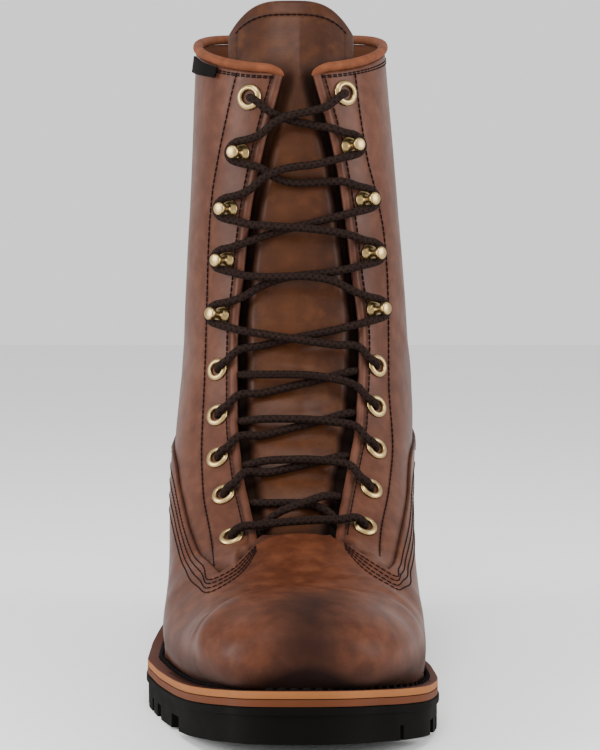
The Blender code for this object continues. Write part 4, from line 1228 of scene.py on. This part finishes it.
def makeHardware():
    meshes = {"eyelet": turnedMesh("eyeletRing", eyeletOutline, True),
              "hook": turnedMesh("hookPeg", hookOutline, False)}
    for number, pair, label, centre, normal in hardwareSpots():
        piece = addObject(f"{pair.kind}{label.title()}{number}", meshes[pair.kind])
        axis = Vector((normal[0], -normal[1], normal[2]))
        turn = axis.to_track_quat("Z", "Y").to_matrix().to_4x4()
        piece.matrix_world = Matrix.Translation(Vector(place(centre))) @ turn @ Matrix.Scale(pair.size, 4)
        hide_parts(f"{pair.kind}_{label}_{number}")
        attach(piece, "root")


# Lace: two runs cross down the throat from the top eyelets, and the bar at its foot joins them

lace = {
    "radius": 1.72,
    "sides": 14,
    "step": 0.55,
    "below": 6.5,    # a strand leaves under its hook
    "above": 7.5,    # and comes to the next one over it
    "clear": 9.0,    # it keeps this far from the middle of the hardware
    "over": 2.6,     # lift of the strand on top at a crossing
    "under": -1.2,
    "neck": 3.4,     # lift round a hook
    "bar": 3.3,
    "barBow": 1.6,
    "barRise": 0.6,
    "eyeletDrop": 1.6,   # a strand from an eyelet starts this far under it,
    "fromThroat": 2.5,   # this far inside the throat's edge
    "hidden": -2.2,      # and this deep
    "sag": 6.75,         # gives a bow its full height at a third of the way
    "ends": -2.0,
}
Crossing = namedtuple("Crossing", "top lateral medial")
crossings = (  # which strand lies on top, by the side it starts from, and how far each one bows up
    Crossing(medial, -1, 3),
    Crossing(medial, -4, 4),
    Crossing(lateral, 1, 1),
    Crossing(lateral, 4, 4),
    Crossing(lateral, 0, 1),
    Crossing(lateral, 3, 0),
    Crossing(lateral, 2, 0),
    Crossing(lateral, 2, 0),
    Crossing(medial, 2, 0),
)


def laceSpot(x, z, lift):
    t, v = frontSpot([x], [z])
    return (form(t, v) + lift * formNormal(t, v))[0]


def fromAbove(x, z, side):
    # into an eyelet's hole from outside
    return [laceSpot(x - side * 5.2, z + 2.9, 3.2), laceSpot(x - side * 2.2, z + 1.2, 2.5),
            laceSpot(x - side * 0.3, z, 0.2), laceSpot(x, z - 0.4, -2.6)]


def fromBelow(x, z, side):
    # on behind the leather and out under the throat's edge
    edge = float(throatHalf[side](z - 2))
    return [laceSpot((x + edge) / 2 + side * 1.5, z - 0.8, -3.8), laceSpot(edge + side * 1.0, z - 1.2, -3.4)]


def aroundHook(x, z, side):
    turn = ((-3.6, 5.4), (0.6, 4.4), (3.0, 2.2), (3.7, -0.3), (2.4, -2.9), (-0.8, -4.3), (-4.4, -5.2))
    return [laceSpot(x + side * out, z + rise, lace["neck"]) for out, rise in turn]


def strandPoints(number, side):
    # from under the hardware of one pair to over that of the next, on the other side
    crossing, first, following = crossings[number - 1], pairs[number - 1], pairs[number]
    hooked = first.kind == "hook" or number == 1
    startZ = heightOf(first, side) - (lace["below"] if hooked else lace["eyeletDrop"])
    startX = getattr(first, sideNames[side]) - side * lace["clear"]
    if not hooked:
        startX = float(throatHalf[side](startZ)) - side * lace["fromThroat"]
    endX = getattr(following, sideNames[-side]) + side * lace["clear"]
    endZ = heightOf(following, -side) + lace["above"]
    if following is pairs[-1]:
        endX, endZ = endX + side * 5, endZ - 1.5
    middle = lace["over"] if crossing.top == side else lace["under"]
    startLift = lace["neck"] if hooked else lace["hidden"]
    endLift = lace["ends"] if following is pairs[-1] else lace["neck"]
    lifts = [startLift * 0.75 + middle * 0.25, middle, middle, endLift * 0.75 + middle * 0.25]
    rise = track([0, 0.25, 0.75, 1], lifts)
    bow = getattr(crossing, sideNames[side])
    for u in (0.0, 0.2, 0.4, 0.6, 0.8, 1.0):
        # a strand sags near its start, and rises near its end
        z = startZ + (endZ - startZ) * u + lace["sag"] * bow * u * (1 - u) * (u if bow > 0 else 1 - u)
        yield laceSpot(startX + (endX - startX) * u, z, float(rise(u)))


def laceRun(side):
    top, foot = pairs[0], pairs[-1]
    x, z = getattr(top, sideNames[side]), heightOf(top, side)
    points = [laceSpot(x, z, -4.6), laceSpot(x, z, -1.0), laceSpot(x - side * 0.6, z - 0.3, 1.2)]
    points += [laceSpot(x - side * 3.2, z - 1.6, 3.3)]
    for number, pair in enumerate(pairs[1:], start=1):
        points += strandPoints(number, side)
        side = -side
        x, z = getattr(pair, sideNames[side]), heightOf(pair, side)
        if pair is foot:
            edge = float(throatHalf[side](z + 3))
            points += [laceSpot(edge + side * 1.5, z + 3, -3.6), laceSpot(x - side * 2, z + 1, -4.4)]
            points += [laceSpot(x, z, -1.6), laceSpot(x - side * 0.6, z + 0.4, 1.2)]
            points += [laceSpot(x - side * 3.4, z + 1.2, lace["bar"])]
        elif pair.kind == "hook":
            points += aroundHook(x, z, side)
        else:
            points += fromAbove(x, z, side) + fromBelow(x, z, side)
    return points


def makeLace():
    left, right = laceRun(lateral), laceRun(medial)
    # after nine crossings the run from the lateral side ends on the medial one
    foot = pairs[-1]
    startX, startZ = foot.medial, heightOf(foot, medial)
    endX, endZ = foot.lateral, heightOf(foot, lateral)
    bar = []
    for u in np.linspace(0.2, 0.8, 5):
        bow = 4 * lace["barBow"] * u * (1 - u) + lace["barRise"]
        bar.append(laceSpot(startX + (endX - startX) * u, startZ + (endZ - startZ) * u + bow, lace["bar"]))
    path = curveThrough(np.array(left + bar + right[::-1]), lace["step"])
    evenOut(path, 3)
    points, faces = tubeMesh(path, lace["radius"], lace["sides"])
    length = lengthAlong(path)
    print("lace length", round(float(length[-1])), "mm")
    turns = np.tile(np.arange(lace["sides"]) / lace["sides"], len(path))
    masks = {"alongLace": np.repeat(length, lace["sides"]), "roundLace": turns}
    replaced = tuple(f"lace_cross_{n}" for n in range(1, 10)) + ("lace_bar",)
    return makePiece("laceCord", points, faces, cord, replaced, masks)


# Seams of the upper

seamRows = {"counter": (1.7, 3.4), "throat": 4.6, "collar": (5.0, 7.4), "back": (1.6, 3.2)}


def flapSeam(side, share):
    inner = [(t, np.interp(t, layerRows[side], layerShare[side])) for t in innerSeamRows[side]]
    inner = np.array(inner + [tuple(k) for k in innerSeamEnd[side]])
    outer = np.array([tuple(k) for k in outerSeam[side]])
    path = curveThrough(inner + (outer - inner) * share, 0.02)
    line = resample(form(path[:, 0], side * path[:, 1]), 0.5)
    evenOut(line, 50)
    spots, normals = onForm(line)
    relief = last["layer"] + toeRelief(spots) + 0.05
    return spots + relief[:, None] * normals, normals


def makeSeams():
    vampRows, quarterRows = [], []
    for side in sideNames:
        vampRows += [flapSeam(side, share) for share in seamShares]
        start = innerSeamRows[side][0]
        first = (start - layerRows[side][0]) / (layerTop - layerRows[side][0])
        rear = form(layerRows[side], side * layerShare[side])
        rear = resample(rear[int(first * len(rear)):], 0.5)
        for offset in seamRows["counter"]:
            vampRows.append(sewnRow(rear, side * offset, last["layer"] + 0.05, 0.0, 0.985))
        quarterRows.append(sewnRow(throatLines[side], side * seamRows["throat"], 0.3, 0.01, 0.985))
        z = np.linspace(eyestayRows[0].z + 4, eyestayRows[-1].z, 240)
        t, v = frontSpot(eyestayHalf[side](z), z)
        line = resample(form(t, v), 0.5)
        quarterRows.append(sewnRow(line, 0.0, 0.0))
        for drop in seamRows["collar"]:
            t = np.full(300, last["topRow"] - drop / 38)
            opening = float(throatShare(np.array(t[0]), side))
            v = side * (opening + 0.02 + (0.98 - opening) * np.linspace(0, 1, 300))
            line = resample(form(t, v), 0.5)
            quarterRows.append(sewnRow(line, 0.0, 0.05))
        for offset in seamRows["back"]:
            t = np.linspace(layerTop + 0.05, last["topRow"] - 0.3, 200)
            back = form(t, np.ones(200)) + np.array((side * offset, 0, 0))
            quarterRows.append(sewnRow(back, 0.0, 0.05))
    makeStitches("vampStitches", vampRows, threadDark)
    makeStitches("quarterStitches", quarterRows, threadDark)


# Tag: down and across are in rows of the form and shares of its half

tag = {"rows": 10, "columns": 24, "drop": 0.03, "down": 0.34, "start": 0.22, "across": 0.19, "skew": 0.008,
       "lift": 1.5, "thick": 0.8}


def makeTag():
    down = np.linspace(0, 1, tag["rows"])[:, None]
    along = np.linspace(0, 1, tag["columns"])[None, :]
    t = last["topRow"] - tag["drop"] - tag["down"] * down
    v = -(tag["start"] + tag["across"] * along + tag["skew"] * down)
    lift = tag["lift"] + 0.5 * down + 0.6 * (1 - along) ** 2 + 0.25 * np.sin(along * 5)
    outer, inner = lifted(t, v, lift), lifted(t, v, lift - tag["thick"])
    faces = sheetFaces(tag["rows"], tag["columns"])
    points, faces, _ = closeShell(outer.reshape(-1, 3), inner.reshape(-1, 3), faces)
    return makePiece("tagBlank", points, faces, labelCloth, ("collar_tag",))


def dressNode(node, material):
    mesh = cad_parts[node].data
    mesh.materials.clear()
    mesh.materials.append(material)


# Stage, light and camera

studio = {"floorHalf": 3, "floorGrey": 0.86, "floorRough": 0.8, "ambient": 1.15, "aim": (0, -0.08, 0.13)}
Softbox = namedtuple("Softbox", "name where size power")  # in metres and watts
softboxes = (
    Softbox("softLeft", (-0.95, -0.55, 0.42), 0.6, 15),
    Softbox("softRight", (0.95, -0.5, 0.42), 0.6, 12),
    Softbox("softTop", (-0.1, -0.75, 1.1), 0.5, 9),
)
photoView = {"lens": 98.2, "ahead": 1010, "height": 182, "tiltDown": 0.0605, "nearest": 0.05, "farthest": 20}


def makeStage():
    half, grey = studio["floorHalf"], studio["floorGrey"]
    mesh = bpy.data.meshes.new("floor")
    corners = [(-half, -half, 0), (half, -half, 0), (half, half, 0), (-half, half, 0)]
    mesh.from_pydata(corners, [], [(0, 1, 2, 3)])
    f = Finish("floorPaint")
    mesh.materials.append(f.finish(colour=(grey, grey, grey), roughness=studio["floorRough"]))
    floor = addObject("floor", mesh)
    world = bpy.data.worlds.new("studio")
    world.use_nodes = True
    background = world.node_tree.nodes["Background"]
    background.inputs["Color"].default_value = (1, 1, 1, 1)
    background.inputs["Strength"].default_value = studio["ambient"]
    bpy.context.scene.world = world
    for box in softboxes:
        light = bpy.data.lights.new(box.name, "AREA")
        light.size, light.energy = box.size, box.power
        holder = addObject(box.name, light)
        holder.location = box.where
        towards = Vector(studio["aim"]) - Vector(box.where)
        holder.rotation_euler = towards.to_track_quat("-Z", "Y").to_euler()


def makeCamera():
    camera = bpy.data.cameras.new("photoCamera")
    camera.lens = photoView["lens"]
    camera.clip_start, camera.clip_end = photoView["nearest"], photoView["farthest"]
    holder = addObject("photoCamera", camera)
    holder.location = place((0, photoView["ahead"], photoView["height"]))
    holder.rotation_euler = (math.pi / 2 - photoView["tiltDown"], 0, 0)
    bpy.context.scene.camera = holder


makeQuarters()
print("quarters done")
makeVamp()
print("vamp done")
makeTongue()
makeTongueStitches()
makeCollar()
makeSeams()
print("upper done")
makeWelt()
makeMidsole()
makeOutsole()
makeHeel()
print("sole done")
makeHardware()
makeLace()
makeTag()
dressNode("insole", liningLeather)
makeStage()
makeCamera()
